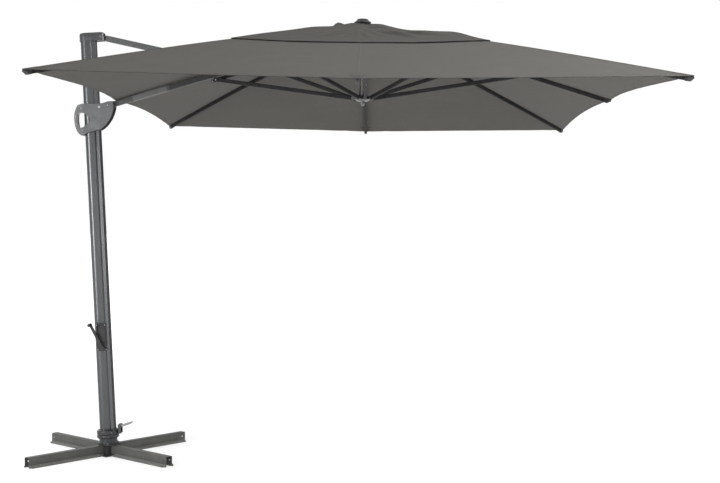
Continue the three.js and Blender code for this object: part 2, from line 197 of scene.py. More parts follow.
wt.links.new(w_ramp.outputs[0], w_soft.inputs["Color"])
w_soft.inputs["Strength"].default_value = 0.9
wt.links.new(w_path.outputs["Is Camera Ray"], w_mix.inputs[0])
wt.links.new(w_soft.outputs[0], w_mix.inputs[1])
wt.links.new(w_white.outputs[0], w_mix.inputs[2])
wt.links.new(w_mix.outputs[0], w_out.inputs[0])


# ------------------------------------------------------------------ materials
class Nodes:
    """Short hand for building a node tree."""

    def __init__(self, name):
        self.m = bpy.data.materials.new(name)
        self.m.use_nodes = True
        self.t = self.m.node_tree
        self.t.nodes.clear()
        self.out = self.t.nodes.new("ShaderNodeOutputMaterial")
        self.b = self.t.nodes.new("ShaderNodeBsdfPrincipled")
        self.t.links.new(self.b.outputs[0], self.out.inputs[0])

    def new(self, kind, **props):
        n = self.t.nodes.new("ShaderNode" + kind)
        for k, v in props.items():
            setattr(n, k, v)
        return n

    def link(self, a, b):
        self.t.links.new(a, b)

    def co(self, scale=(1, 1, 1), kind="Object", rot=(0, 0, 0)):
        c = self.new("TexCoord")
        mp = self.new("Mapping")
        mp.inputs["Scale"].default_value = scale
        mp.inputs["Rotation"].default_value = rot
        self.link(c.outputs[kind], mp.inputs["Vector"])
        return mp.outputs[0]

    def noise(self, vec, scale, detail=3, rough=0.55):
        n = self.new("TexNoise")
        n.inputs["Scale"].default_value = scale
        n.inputs["Detail"].default_value = detail
        n.inputs["Roughness"].default_value = rough
        self.link(vec, n.inputs["Vector"])
        return n.outputs["Fac"]

    def math(self, op, a, b=None, clamp=False):
        n = self.new("Math", operation=op, use_clamp=clamp)
        for i, v in enumerate((a, b)):
            if v is None:
                continue
            if isinstance(v, (int, float)):
                n.inputs[i].default_value = v
            else:
                self.link(v, n.inputs[i])
        return n.outputs[0]

    def range(self, v, a, b, c, d, smooth=False):
        n = self.new("MapRange", interpolation_type="SMOOTHSTEP" if smooth else "LINEAR")
        self.link(v, n.inputs["Value"])
        for k, x in zip(("From Min", "From Max", "To Min", "To Max"), (a, b, c, d)):
            n.inputs[k].default_value = x
        return n.outputs[0]

    def mix(self, f, a, b, blend="MIX"):
        n = self.new("Mix", data_type="RGBA", blend_type=blend)
        for i, v in ((0, f), (6, a), (7, b)):
            if isinstance(v, (int, float)):
                n.inputs[i].default_value = v
            elif isinstance(v, tuple):
                n.inputs[i].default_value = (*v, 1)
            else:
                self.link(v, n.inputs[i])
        return n.outputs[2]

    def bump(self, height, strength, distance, normal=None):
        n = self.new("Bump")
        n.inputs["Strength"].default_value = strength
        n.inputs["Distance"].default_value = distance
        self.link(height, n.inputs["Height"])
        if normal is not None:
            self.link(normal, n.inputs["Normal"])
        return n.outputs[0]

    def set(self, **values):
        for k, v in values.items():
            s = self.b.inputs[k.replace("_", " ")]
            if isinstance(v, (int, float)):
                s.default_value = v
            elif isinstance(v, tuple):
                s.default_value = (*v, 1) if len(v) == 3 and s.type == "RGBA" else v
            else:
                self.link(v, s)
        return self.m


def edge_wear(n, colour, worn, lo=0.53, hi=0.60, amount=0.5):
    """Lightens convex edges, broken up by noise."""
    g = n.new("NewGeometry")
    edge = n.range(g.outputs["Pointiness"], lo, hi, 0, 1)
    broken = n.range(n.noise(n.co(), 90, 3), 0.42, 0.62, 0.25, 1)
    return n.mix(n.math("MULTIPLY", n.math("MULTIPLY", edge, broken), amount), colour, worn)


def powder_coat(name, base, light, dark, rough=0.46, metal=0.15, grain=0.00018, worn=(0.2, 0.2, 0.195), spec=0.45, coat=0.08):
    n = Nodes(name)
    co = n.co()
    cloud = n.noise(co, 7, 4)
    col = n.mix(n.range(cloud, 0.3, 0.7, 0, 1), dark, light)
    speck = n.noise(co, 900, 2)
    col = n.mix(n.range(speck, 0.60, 0.72, 0, 0.35), col, tuple(min(1, 1.7 * c) for c in base))
    dust = n.noise(co, 28, 5, 0.7)
    col = n.mix(n.range(dust, 0.55, 0.8, 0, 0.22), col, tuple(min(1, 1.5 * c + 0.01) for c in base))
    col = edge_wear(n, col, worn)
    r = n.range(n.noise(co, 40, 4), 0.3, 0.7, rough - 0.06, rough + 0.08)
    peel = n.noise(co, 420, 2)
    nrm = n.bump(peel, 0.35, grain)
    return n.set(Base_Color=col, Roughness=r, Metallic=metal, Normal=nrm, Coat_Weight=coat, Coat_Roughness=0.4, Specular_IOR_Level=spec)


def brushed(name, base, rough=0.3, metal=0.9, along="Z", spread=0.16, streak=900.0, tilt=0.0, broad_amount=0.30, wear=0.35, vary=1.0):
    """Metal with fine lines along one axis."""
    n = Nodes(name)
    sc = {"X": (3, streak, streak), "Y": (streak, 3, streak), "Z": (streak, streak, 3)}[along]
    co = n.co(sc, rot=(0, tilt, 0))
    lines = n.noise(co, 1, 3, 0.65)
    broad = n.noise(n.co(tuple(max(0.6, s / 30) for s in sc), rot=(0, tilt, 0)), 1, 2)
    lo, hi = tuple(c * (1 - spread) for c in base), tuple(min(1, c * (1 + spread)) for c in base)
    col = n.mix(n.range(lines, 0.3, 0.7, 0, 1), lo, hi)
    col = n.mix(n.range(broad, 0.35, 0.65, 0, broad_amount), col, tuple(c * 0.8 for c in base))
    col = edge_wear(n, col, tuple(min(1, 1.8 * c) for c in base), amount=wear)
    smudge = n.noise(n.co(), 11, 4, 0.6)
    r = n.range(n.math("ADD", n.math("MULTIPLY", lines, 0.6), n.math("MULTIPLY", smudge, 0.4)), 0.3, 0.7, rough - 0.07 * vary, rough + 0.09 * vary)
    nrm = n.bump(lines, 0.15 * vary, 0.00004)
    return n.set(Base_Color=col, Roughness=r, Metallic=metal, Normal=nrm)


def cast(name, base, rough=0.42, metal=0.75):
    n = Nodes(name)
    co = n.co()
    cell = n.new("TexVoronoi")
    cell.inputs["Scale"].default_value = 620
    n.link(co, cell.inputs["Vector"])
    grain = n.noise(co, 380, 4, 0.7)
    col = n.mix(n.range(n.noise(co, 16, 4), 0.3, 0.7, 0, 1), tuple(c * 0.86 for c in base), tuple(c * 1.12 for c in base))
    col = n.mix(n.range(grain, 0.55, 0.75, 0, 0.4), col, tuple(c * 1.35 for c in base))
    col = edge_wear(n, col, tuple(min(1, c * 2.0) for c in base), amount=0.6)
    r = n.range(grain, 0.3, 0.7, rough - 0.08, rough + 0.1)
    nrm = n.bump(n.math("ADD", grain, n.math("MULTIPLY", cell.outputs["Distance"], 0.5)), 0.4, 0.00022)
    return n.set(Base_Color=col, Roughness=r, Metallic=metal, Normal=nrm)


def moulded(name, base, rough=0.48):
    """Moulded black plastic with a fine sparked texture."""
    n = Nodes(name)
    co = n.co()
    tex = n.noise(co, 700, 2, 0.6)
    col = n.mix(n.range(n.noise(co, 22, 4), 0.35, 0.7, 0, 1), base, tuple(c * 1.7 + 0.003 for c in base))
    col = n.mix(n.range(n.noise(co, 60, 5, 0.7), 0.6, 0.8, 0, 0.25), col, (0.09, 0.088, 0.082))
    col = edge_wear(n, col, tuple(c * 4 + 0.01 for c in base), amount=0.4)
    r = n.range(tex, 0.3, 0.7, rough - 0.08, rough + 0.1)
    return n.set(Base_Color=col, Roughness=r, Normal=n.bump(tex, 0.3, 0.00015), Specular_IOR_Level=0.45)


def fabric(name, base, hem=True, tape=False):
    """Woven polyester, UVs in metres: u along the hem, v from the hem inwards."""
    n = Nodes(name)
    uv = n.new("TexCoord").outputs["UV"]
    sep = n.new("SeparateXYZ")
    n.link(uv, sep.inputs[0])
    u, v = sep.outputs["X"], sep.outputs["Y"]
    pitch = 0.0013
    wu = n.math("SINE", n.math("MULTIPLY", u, 2 * math.pi / pitch))
    wv = n.math("SINE", n.math("MULTIPLY", v, 2 * math.pi / pitch))
    weave = n.range(n.math("MULTIPLY", wu, wv), -1, 1, 0, 1)
    threads = n.new("Mapping")
    threads.inputs["Scale"].default_value = (14, 520, 1)
    n.link(uv, threads.inputs["Vector"])
    warp = n.noise(threads.outputs[0], 1, 3, 0.6)
    threads2 = n.new("Mapping")
    threads2.inputs["Scale"].default_value = (480, 12, 1)
    n.link(uv, threads2.inputs["Vector"])
    weft = n.noise(threads2.outputs[0], 1, 3, 0.6)
    slub = n.math("ADD", n.math("MULTIPLY", warp, 0.5), n.math("MULTIPLY", weft, 0.5))
    lo, hi = tuple(c * 0.80 for c in base), tuple(c * 1.20 for c in base)
    col = n.mix(n.range(slub, 0.36, 0.64, 0, 1), lo, hi)
    col = n.mix(n.range(weave, 0.15, 0.85, 0.30, 0.0), col, tuple(c * 0.66 for c in base))
    ob = n.co()
    cloud = n.noise(ob, 1.7, 4, 0.6)
    col = n.mix(n.range(cloud, 0.3, 0.7, 0.16, 0.0), col, tuple(c * 0.78 for c in base))
    fade = n.noise(ob, 6.5, 5, 0.65)
    col = n.mix(n.range(fade, 0.55, 0.8, 0.0, 0.18), col, tuple(c * 1.4 for c in base))
    height = n.math("ADD", n.math("MULTIPLY", weave, 0.65), n.math("MULTIPLY", slub, 0.55))
    if hem:
        band = n.range(v, 0.0215, 0.0225, 1, 0)
        col = n.mix(n.math("MULTIPLY", band, 0.34), col, tuple(c * 0.55 for c in base))
        rows = None
        for at in (0.0035, 0.0190):
            near = n.range(n.math("ABSOLUTE", n.math("SUBTRACT", v, at)), 0.0004, 0.0008, 1, 0)
            dash = n.range(n.math("SINE", n.math("MULTIPLY", u, 2 * math.pi / 0.0046)), -0.5, -0.2, 0, 1)
            s = n.math("MULTIPLY", near, dash)
            rows = s if rows is None else n.math("MAXIMUM", rows, s)
        col = n.mix(n.math("MULTIPLY", rows, 0.8), col, tuple(c * 2.1 for c in base))
        height = n.math("ADD", height, n.math("MULTIPLY", rows, 1.2))
    if tape:
        rows = None
        for at in (-0.0042, 0.0042):
            near = n.range(n.math("ABSOLUTE", n.math("SUBTRACT", v, at)), 0.0004, 0.0008, 1, 0)
            dash = n.range(n.math("SINE", n.math("MULTIPLY", u, 2 * math.pi / 0.0046)), -0.5, -0.2, 0, 1)
            s = n.math("MULTIPLY", near, dash)
            rows = s if rows is None else n.math("MAXIMUM", rows, s)
        col = n.mix(n.math("MULTIPLY", rows, 0.8), col, tuple(c * 1.5 for c in base))
        height = n.math("ADD", height, n.math("MULTIPLY", rows, 1.2))
    nrm = n.bump(height, 0.5, 0.00035)
    r = n.range(slub, 0.35, 0.65, 0.80, 0.95)
    return n.set(Base_Color=col, Roughness=r, Normal=nrm, Sheen_Weight=0.04, Sheen_Roughness=0.45,
                 Sheen_Tint=(0.8, 0.8, 0.76), Specular_IOR_Level=0.08)


M_BASE = powder_coat("base_paint_grey", (0.066, 0.066, 0.062), (0.077, 0.077, 0.072), (0.055, 0.055, 0.052), rough=0.50, metal=0.1)
# lip paint about twice as light as the leg paint: a painted highlight for the lit edge of the flange
M_LIP_PAINTED_HIGHLIGHT = powder_coat("base_lip_painted_highlight", (0.125, 0.125, 0.118), (0.145, 0.145, 0.138), (0.105, 0.105, 0.099), rough=0.52, metal=0.1)
M_FRAME = powder_coat("frame_paint_anthracite", (0.030, 0.030, 0.031), (0.038, 0.038, 0.039), (0.023, 0.023, 0.024), rough=0.58, metal=0.0, worn=(0.12, 0.12, 0.12), spec=0.20)
M_RIB = powder_coat("rib_paint_black", (0.017, 0.0165, 0.0175), (0.022, 0.0215, 0.0225), (0.013, 0.0125, 0.0135), rough=0.66, metal=0.0, worn=(0.07, 0.07, 0.07), spec=0.14, coat=0.0)
M_HEAD = powder_coat("head_paint_grey", (0.040, 0.042, 0.044), (0.047, 0.049, 0.051), (0.033, 0.035, 0.037), rough=0.36, metal=0.4, worn=(0.22, 0.22, 0.22))
M_MAST = brushed("mast_anodised_grey", (0.084, 0.087, 0.090), rough=0.32, metal=0.9, along="Z", spread=0.05, streak=900, tilt=LEAN, broad_amount=0.10, wear=0.12, vary=0.2)
# the rail's metal is lighter than the mast body: a painted highlight for the bright strip along the rail
M_RAIL_PAINTED_HIGHLIGHT = brushed("mast_rail_painted_highlight", (0.105, 0.108, 0.112), rough=0.24, metal=0.9, along="Z", spread=0.06, streak=900, tilt=LEAN, broad_amount=0.10, wear=0.15, vary=0.2)
M_TIE = powder_coat("tie_bar_paint_grey", (0.058, 0.060, 0.060), (0.066, 0.068, 0.068), (0.050, 0.052, 0.052), rough=0.36, metal=0.4, worn=(0.25, 0.25, 0.25))
M_TUBE = brushed("beam_tube_grey", (0.060, 0.060, 0.060), rough=0.56, metal=0.2, along="X", spread=0.12, streak=600, tilt=BEAM_SLOPE)
M_SLEEVE = brushed("sleeve_satin_grey", (0.112, 0.114, 0.111), rough=0.6, metal=0.15, along="X", spread=0.12, streak=600, tilt=BEAM_SLOPE)
M_ALU = brushed("bare_alu_turned", (0.150, 0.152, 0.156), rough=0.36, metal=0.85, along="Z", spread=0.15, streak=700)
M_CAST = cast("slider_cast_grey", (0.118, 0.121, 0.124), rough=0.34, metal=0.85)
M_BLACK = moulded("black_plastic_grain", (0.010, 0.010, 0.0105))
M_STEEL = brushed("fastener_steel_zinc", (0.55, 0.56, 0.57), rough=0.26, metal=1.0, along="Y", spread=0.12, streak=1500)
M_PEDAL = cast("pedal_cast_light", (0.26, 0.26, 0.26), rough=0.45, metal=0.5)
M_BOLT = brushed("bolt_heads_grey", (0.16, 0.16, 0.165), rough=0.32, metal=0.95, along="Y", spread=0.15, streak=1500)
M_DARKSTEEL = powder_coat("dark_fastener", (0.02, 0.02, 0.021), (0.03, 0.03, 0.031), (0.014, 0.014, 0.015), rough=0.34, metal=0.6)
CLOTH = (0.0720, 0.0697, 0.0642)
M_CLOTH = fabric("canopy_fabric_taupe_grey", CLOTH)
# crown cloth: the same fabric at three quarters of the brightness, a painted shade for the crown's different tilt to
# the light; its seam tapes are darkened the same way
M_CROWN_PAINTED_SHADE = fabric("crown_fabric_painted_shade", tuple(c * 0.75 for c in CLOTH))
M_TAPE = fabric("seam_fold_fabric", tuple(c * 0.96 for c in CLOTH), hem=False, tape=True)
CROWN_SEAM_CLOTH_PAINTED_SHADE = fabric("crown_seam_fabric_painted_shade", tuple(c * 0.73 for c in CLOTH), hem=False, tape=True)
M_POCKET = fabric("corner_pocket_fabric", tuple(c * 0.80 for c in CLOTH), hem=False, tape=True)


# ------------------------------------------------------------------ mesh helpers
def finish_mesh(name, bm, body, material, nodes=(), sharp=32, weighted=True, m=None):
    """bm is in millimetres when m is given, in metres in the row frame otherwise."""
    if m is not None:
        bm.transform(MM @ m)
    bmesh.ops.recalc_face_normals(bm, faces=bm.faces)
    me = bpy.data.meshes.new(name)
    bm.to_mesh(me)
    bm.free()
    o = bpy.data.objects.new(name, me)
    COL.objects.link(o)
    for x in (material if isinstance(material, (list, tuple)) else [material]):
        me.materials.append(x)
    me.polygons.foreach_set("use_smooth", [True] * len(me.polygons))
    me.set_sharp_from_angle(angle=rad(sharp))
    if weighted:
        w = o.modifiers.new("normals", "WEIGHTED_NORMAL")
        w.keep_sharp = True
    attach(o, body)
    if nodes:
        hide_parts(*nodes)
    return o


def bevel_sharp(bm, offset, segments=2, angle=32, keep=None):
    edges = [e for e in bm.edges if len(e.link_faces) == 2 and e.calc_face_angle(0) > rad(angle) and (keep is None or keep(e))]
    if edges:
        bmesh.ops.bevel(bm, geom=edges, offset=offset, segments=segments, profile=0.5, affect="EDGES", clamp_overlap=True)
    return bm


def refine(node, material, bevel=1.2, segments=2, angle=32, body=None, name=None):
    """A finer piece for a rigid CAD node: clean faces, rounded edges, smooth shading."""
    src = NODES[node]
    bm = bmesh.new()
    bm.from_mesh(src.data)
    bmesh.ops.remove_doubles(bm, verts=bm.verts, dist=2e-5)
    bmesh.ops.dissolve_limit(bm, angle_limit=rad(0.6), verts=bm.verts, edges=bm.edges)
    if bevel:
        bevel_sharp(bm, bevel / 1000, segments, angle)
    for v in [v for v in bm.verts if not v.link_faces]:
        bm.verts.remove(v)
    return finish_mesh(name or node + "_fine", bm, body or src["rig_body"], material, [node])


def ring_loft(bm, rings, close_ends=True, closed_ring=True):
    """Skins rows of points with quads."""
    rows = [[bm.verts.new(p) for p in r] for r in rings]
    n = len(rows[0])
    for a, b in zip(rows, rows[1:]):
        for i in range(n if closed_ring else n - 1):
            j = (i + 1) % n
            bm.faces.new((a[i], a[j], b[j], b[i]))
    if close_ends:
        bm.faces.new(rows[0][::-1])
        bm.faces.new(rows[-1])
    return rows


def lathe(bm, profile, m=None, n=64):
    """Profile of (radius, height) points turned about Z, in millimetres; ends on the axis are closed."""
    m = m or Matrix.Identity(4)
    rows = []
    for r, z in profile:
        if r < 1e-6:
            rows.append([bm.verts.new(m @ Vector((0, 0, z)))])
        else:
            rows.append([bm.verts.new(m @ Vector((r * math.cos(2 * math.pi * i / n), r * math.sin(2 * math.pi * i / n), z))) for i in range(n)])
    for a, b in zip(rows, rows[1:]):
        for i in range(n):
            j = (i + 1) % n
            f = [a[i % len(a)], a[j % len(a)], b[j % len(b)], b[i % len(b)]]
            u = []
            for v in f:
                if v not in u:
                    u.append(v)
            if len(u) > 2:
                bm.faces.new(u)
    return bm


def rounded(profile, r, n=3, closed=False):
    """Rounds the corners of a list of 2-D points."""
    out, k = [], len(profile)
    for i, p in enumerate(profile):
        if not closed and i in (0, k - 1):
            out.append(p)
            continue
        a, b = Vector(profile[i - 1]), Vector(profile[(i + 1) % k])
        p = Vector(p)
        da, db = (a - p), (b - p)
        q = min(r, da.length * 0.45, db.length * 0.45)
        s, e = p + da.normalized() * q, p + db.normalized() * q
        for j in range(n + 1):
            t = j / n
            out.append(tuple((1 - t) ** 2 * s + 2 * t * (1 - t) * p + t * t * e))
    return out


def rect(w, h, r, n=4, x=0, y=0):
    pts = []
    for cx, cy, a0 in ((w / 2 - r, h / 2 - r, 0), (-w / 2 + r, h / 2 - r, 90), (-w / 2 + r, -h / 2 + r, 180), (w / 2 - r, -h / 2 + r, 270)):
        for i in range(n + 1):
            a = rad(a0 + 90 * i / n)
            pts.append((x + cx + r * math.cos(a), y + cy + r * math.sin(a)))
    return pts


def tube_along(bm, x0, x1, w, h, wall, r=4.0, m=None, n=4, ends=(True, True)):
    """Hollow rounded rectangular tube along +X with rounded end lips, in millimetres."""
    m = m or Matrix.Identity(4)

    def row(x, shrink):
        return [m @ Vector((x, p[0], p[1])) for p in rect(w - 2 * shrink, h - 2 * shrink, max(0.6, r - shrink), n)]
    rows = [row(x0 + 0.7, 0), row(x1 - 0.7, 0), row(x1 - 0.2, 0.25), row(x1, 0.8), row(x1, wall - 0.4), row(x1 - 0.5, wall), row(x0 + 0.5, wall),
            row(x0, wall - 0.4), row(x0, 0.8), row(x0 + 0.2, 0.25)]
    vs = [[bm.verts.new(p) for p in rw] for rw in rows]
    k = len(vs[0])
    for a, b in zip(vs, vs[1:] + vs[:1]):
        for i in range(k):
            j = (i + 1) % k
            bm.faces.new((a[i], a[j], b[j], b[i]))
    return bm


def bowed_tube(bm, xs, lift, w, h, wall, r):
    """Hollow rounded rectangular tube whose centre line rises by lift(x) above the X axis, in millimetres."""
    def row(x, shrink):
        return [(x, p[0], p[1] + lift(x)) for p in rect(w - 2 * shrink, h - 2 * shrink, max(0.6, r - shrink), 4)]
    rows = [row(x, 0) for x in xs] + [row(x, wall) for x in xs[::-1]]
    vs = [[bm.verts.new(p) for p in rw] for rw in rows]
    k = len(vs[0])
    for a, b in zip(vs, vs[1:] + vs[:1]):
        for i in range(k):
            j = (i + 1) % k
            bm.faces.new((a[i], a[j], b[j], b[i]))
    return bm


def screw_head(bm, m, r=4.0, h=2.0, kind="hex"):
    """A domed screw head with a recessed drive, standing along local +Z from the face, in millimetres."""
    lathe(bm, [(0, 0), (r, 0), (r * 1.02, h * 0.35), (r * 0.86, h * 0.8), (r * 0.52, h), (r * 0.50, h * 0.55), (r * 0.44, h * 0.40), (0, h * 0.38)], m, 24 if kind == "pan" else 24)
    return bm


def hex_bolt(bm, m, af=8.0, h=4.0, washer=True):
    if washer:
        lathe(bm, [(0, 0), (af * 0.92, 0), (af * 0.95, 0.4), (af * 0.92, 0.9), (0, 0.9)], m, 32)
    r = af / math.sqrt(3)
    k = Matrix.Translation((0, 0, 0.9)) if washer else Matrix.Identity(4)
    rows = []
    for z, s in ((0, 1.0), (h * 0.86, 1.0), (h, 0.90)):
        rows.append([m @ k @ Vector((r * s * math.cos(rad(60 * i)), r * s * math.sin(rad(60 * i)), z)) for i in range(6)])
    ring_loft(bm, rows)
    return bm


def face_y(x, y, z, near=True):
    """Matrix whose local +Z points out of a face seen from -Y (near) or +Y."""
    return T(x, y, z) @ Matrix.Rotation(rad(90 if near else -90), 4, "X")


def boolean(a, b, op="DIFFERENCE"):
    """Boolean of two bmeshes in millimetres; returns a new bmesh. The exact solver needs closed meshes."""
    ms = []
    for i, bm in enumerate((a, b)):
        bmesh.ops.recalc_face_normals(bm, faces=bm.faces)
        me = bpy.data.meshes.new("tmp")
        bm.to_mesh(me)
        bm.free()
        o = bpy.data.objects.new("tmp%d" % i, me)
        COL.objects.link(o)
        ms.append(o)
    mod = ms[0].modifiers.new("b", "BOOLEAN")
    mod.operation, mod.object, mod.solver = op, ms[1], "EXACT"
    dg = bpy.context.evaluated_depsgraph_get()
    dg.update()
    me = bpy.data.meshes.new_from_object(ms[0].evaluated_get(dg))
    out = bmesh.new()
    out.from_mesh(me)
    for o in ms:
        bpy.data.objects.remove(o)
    bpy.data.meshes.remove(me)
    bmesh.ops.remove_doubles(out, verts=out.verts, dist=1e-3)
    return out


def block(x0, x1, y0, y1, z0, z1):
    bm = bmesh.new()
    ring_loft(bm, [[(x0, y0, z), (x1, y0, z), (x1, y1, z), (x0, y1, z)] for z in (z0, z1)])
    return bm


def slab_y(pts, y0, y1):
    """Outline in X-Z extruded along Y, in millimetres."""
    bm = bmesh.new()
    ring_loft(bm, [[(p[0], y, p[1]) for p in pts] for y in (y0, y1)])
    return bm


def catmull(pts, n=4):
    """Closed smooth curve through 2-D points."""
    out, k = [], len(pts)
    for i in range(k):
        p0, p1, p2, p3 = (Vector(pts[(i + j - 1) % k]) for j in range(4))
        for j in range(n):
            t = j / n
            out.append(tuple(0.5 * (2 * p1 + (p2 - p0) * t + (2 * p0 - 5 * p1 + 4 * p2 - p3) * t * t + (3 * p1 - p0 - 3 * p2 + p3) * t ** 3)))
    return out


# ------------------------------------------------------------------ base
for k in ("back_right", "back_left", "front_left", "front_right"):
    refine("leg_" + k, M_BASE, bevel=1.3, segments=3, angle=30)
refine("base_hub", M_FRAME, bevel=1.6, segments=2)
refine("foot_sleeve", M_HEAD, bevel=1.4, segments=3)

bm = bmesh.new()
for k in range(4):
    turn = RZm(rad(48.2 + 90 * k))
    # bolts into the hub plate beside each leg and one on the leg's roof
    for x, y in ((70, 32.5), (70, -32.5)):
        hex_bolt(bm, turn @ T(x, y, 5.2), af=11, h=5)
    hex_bolt(bm, turn @ T(78, 0, 59.8), af=10, h=4)
for k in range(4):
    m = RZm(rad(48.2 + 45 + 90 * k)) @ T(60.0, 0, 66.2)
    hex_bolt(bm, m, af=10, h=6)
finish_mesh("base_bolts", bm, "base", M_BOLT, m=Matrix.Identity(4))

# pressed fillet where each leg's side meets its flange, and the rolled lip along the flange's edge, in a paint about
# twice as light as the legs: a painted highlight for the light line along the flange
bm = bmesh.new()
for k in range(4):
    turn = RZm(rad(48.2 + 90 * k))
    for s in (1, -1):
        for prof in (((21.6, 5.6), (28.5, 5.8), (26.2, 7.0), (24.0, 9.2), (22.6, 13.0), (21.6, 14.5)), ((38.4, 5.6), (43.2, 5.4), (43.6, 7.4), (42.6, 9.2), (40.6, 9.6), (39.0, 8.2))):
            x1 = 571.0 if prof[0][0] < 30 else 556.0
            ring_loft(bm, [[turn @ Vector((x, s * y, z)) for y, z in prof] for x in (87, x1)])
finish_mesh("leg_lips_painted_highlight", bm, "base", M_LIP_PAINTED_HIGHLIGHT, sharp=50, m=Matrix.Identity(4))

# swivel collar with its ring groove and clamp screws
bm = bmesh.new()
prof = rounded([(0, 99), (61, 99), (66, 104), (66, 118), (63.2, 120.3), (63.2, 121.7), (66, 124), (66, 141), (65.0, 146), (59, 150), (50, 150.2), (0, 150.2)], 2.0)
lathe(bm, prof, n=96)
finish_mesh("swivel_collar_fine", bm, "mast", M_HEAD, ["swivel_collar"], m=MAST)
bm = bmesh.new()
for a in (-78, -102, 78, 102):
    screw_head(bm, RZm(rad(a)) @ T(65.4, 0, 111) @ RYm(rad(90)), r=4.2, h=2.2)
for a in (-60, 60, 180):
    screw_head(bm, RZm(rad(a)) @ T(65.4, 0, 133) @ RYm(rad(90)), r=3.4, h=1.8)
finish_mesh("collar_screws", bm, "mast", M_BOLT, m=MAST)
refine("pedal_housing", M_HEAD, bevel=1.8, segments=3)
o = refine("foot_pedal", M_PEDAL, bevel=1.4, segments=3)
bm = bmesh.new()
for i in range(5):  # raised treads on the pedal's upper face
    x = 104 + 7.5 * i
    z = 172.5 + (184.5 - 172.5) * (x - 94) / 46
    ring_loft(bm, [[(x + a, y, z + b + a * 0.26) for a, b in ((-1.6, -0.8), (1.6, -0.8), (1.1, 0.9), (-1.1, 0.9))] for y in (-19, 19)])
finish_mesh("pedal_treads", bm, "pedal", M_PEDAL, m=MAST)

# ------------------------------------------------------------------ mast
R = MAST_W / 2
xb = -MAST_D / 2
outer = [(xb + R + R * math.cos(rad(a)), R * math.sin(rad(a))) for a in np.linspace(90, 270, 49)]
front = rounded([(14, -35), (20, -33), (23.5, -28), (23.5, -26), (42.5, -24.4), (47.5, -21), (47.5, -7), (34, -7), (34, 7), (47.5, 7), (47.5, 21), (42.5, 24.4), (23.5, 26), (23.5, 28), (20, 33), (14, 35)], 1.3, 2)
outer = outer + front
Ri = R - 3
inner = [(xb + R + Ri * math.cos(rad(a)), Ri * math.sin(rad(a))) for a in np.linspace(90, 270, 25)]
inner += [(13, -32), (18, -30), (20, -26), (20, -23), (29, -22), (29, 22), (20, 23), (20, 26), (18, 30), (13, 32)]
bm = bmesh.new()
levels = list(np.linspace(MAST_LO, MAST_HI, 13))
rows = ring_loft(bm, [[(x, y, z) for x, y in outer] for z in levels], close_ends=False)
rin = ring_loft(bm, [[(x, y, z) for x, y in inner] for z in (MAST_LO, MAST_HI)], close_ends=False)
for i in (0, -1):
    edges = []
    for ring in (rows[i], rin[i]):
        for a, b in zip(ring, ring[1:] + ring[:1]):
            e = bm.edges.get((a, b))
            if e:
                edges.append(e)
    bmesh.ops.triangle_fill(bm, use_beauty=True, edges=edges)
# front rail faces: the side faces take the lighter rail metal, a painted highlight for the bright strip on the rail;
# the front face and its chamfers take the dark frame paint, a painted shade for the dark strip along the mast's shaded
# side
for fc in bm.faces:
    cx = fc.calc_center_median()
    if cx.x > 23.6:
        fc.material_index = 1 if cx.x < 42 and abs(cx.y) > 23 else 2
finish_mesh("mast_profile", bm, "mast", [M_MAST, M_RAIL_PAINTED_HIGHLIGHT, M_FRAME], ["mast"], sharp=28, m=MAST)

# dark slot insert that the winding line runs behind
bm = bmesh.new()
ring_loft(bm, [[(x, y, z) for x, y in ((34.2, -6.7), (36.2, -6.7), (36.2, 6.7), (34.2, 6.7))] for z in (156, 2492)])
finish_mesh("mast_slot_strip", bm, "mast", M_BLACK, m=MAST)

# mast head: cast cap with a domed lid, parting line and screws
cap = [(-12 + 40 * math.cos(rad(a)), 40 * math.sin(rad(a))) for a in np.linspace(90, 270, 41)]
cap += rounded([(-12, -40), (70, -38), (92, -34), (101, -27), (101, 27), (92, 34), (70, 38), (-12, 40)], 5, 4)[1:-1]
lo = MAST_HI + 0.3


def inset(pts, s, dx=0.0):
    c = Vector((24.0, 0.0))
    out = []
    for p in pts:
        v = Vector(p) - c
        out.append(tuple(c + v * (1 - s / max(8, v.length))))
    return out


bm = bmesh.new()
steps = [(0.8, 0), (0, 0.8), (0, 30), (0.9, 30.6), (0.9, 31.8), (0, 32.4), (0, 41), (0.7, 43.6), (2.6, 46.4), (6, 49.0), (12, 50.9), (20, 51.8)]
ring_loft(bm, [[(x, y, lo + h) for x, y in inset(cap, s)] for s, h in steps])
head = boolean(bm, block(50, 120, -17, 17, lo - 1, lo + 43))
bore = bmesh.new()
lathe(bore, [(0, -60), (4.4, -60), (4.4, 60), (0, 60)], T(PIVOT_TIE[0], 0, PIVOT_TIE[1]) @ Matrix.Rotation(rad(90), 4, "X"), 24)
head = boolean(head, bore)
finish_mesh("mast_head_cap", head, "mast", M_HEAD, ["mast_head"], sharp=26, m=MAST)
bm = bmesh.new()
for s in (1, -1):
    for x, z, r in ((-16, lo + 14, 3.4), (22, lo + 14, 3.4), (-2, lo + 24, 2.4)):
        screw_head(bm, face_y(x, -s * 39.4, z, s > 0), r=r, h=2.0)
    hex_bolt(bm, face_y(PIVOT_TIE[0], -s * 36.3, PIVOT_TIE[1], s > 0), af=11, h=3.2)
finish_mesh("mast_head_screws", bm, "mast", M_BOLT, m=MAST)
refine("tie_bar_pin", M_STEEL, bevel=0.6)

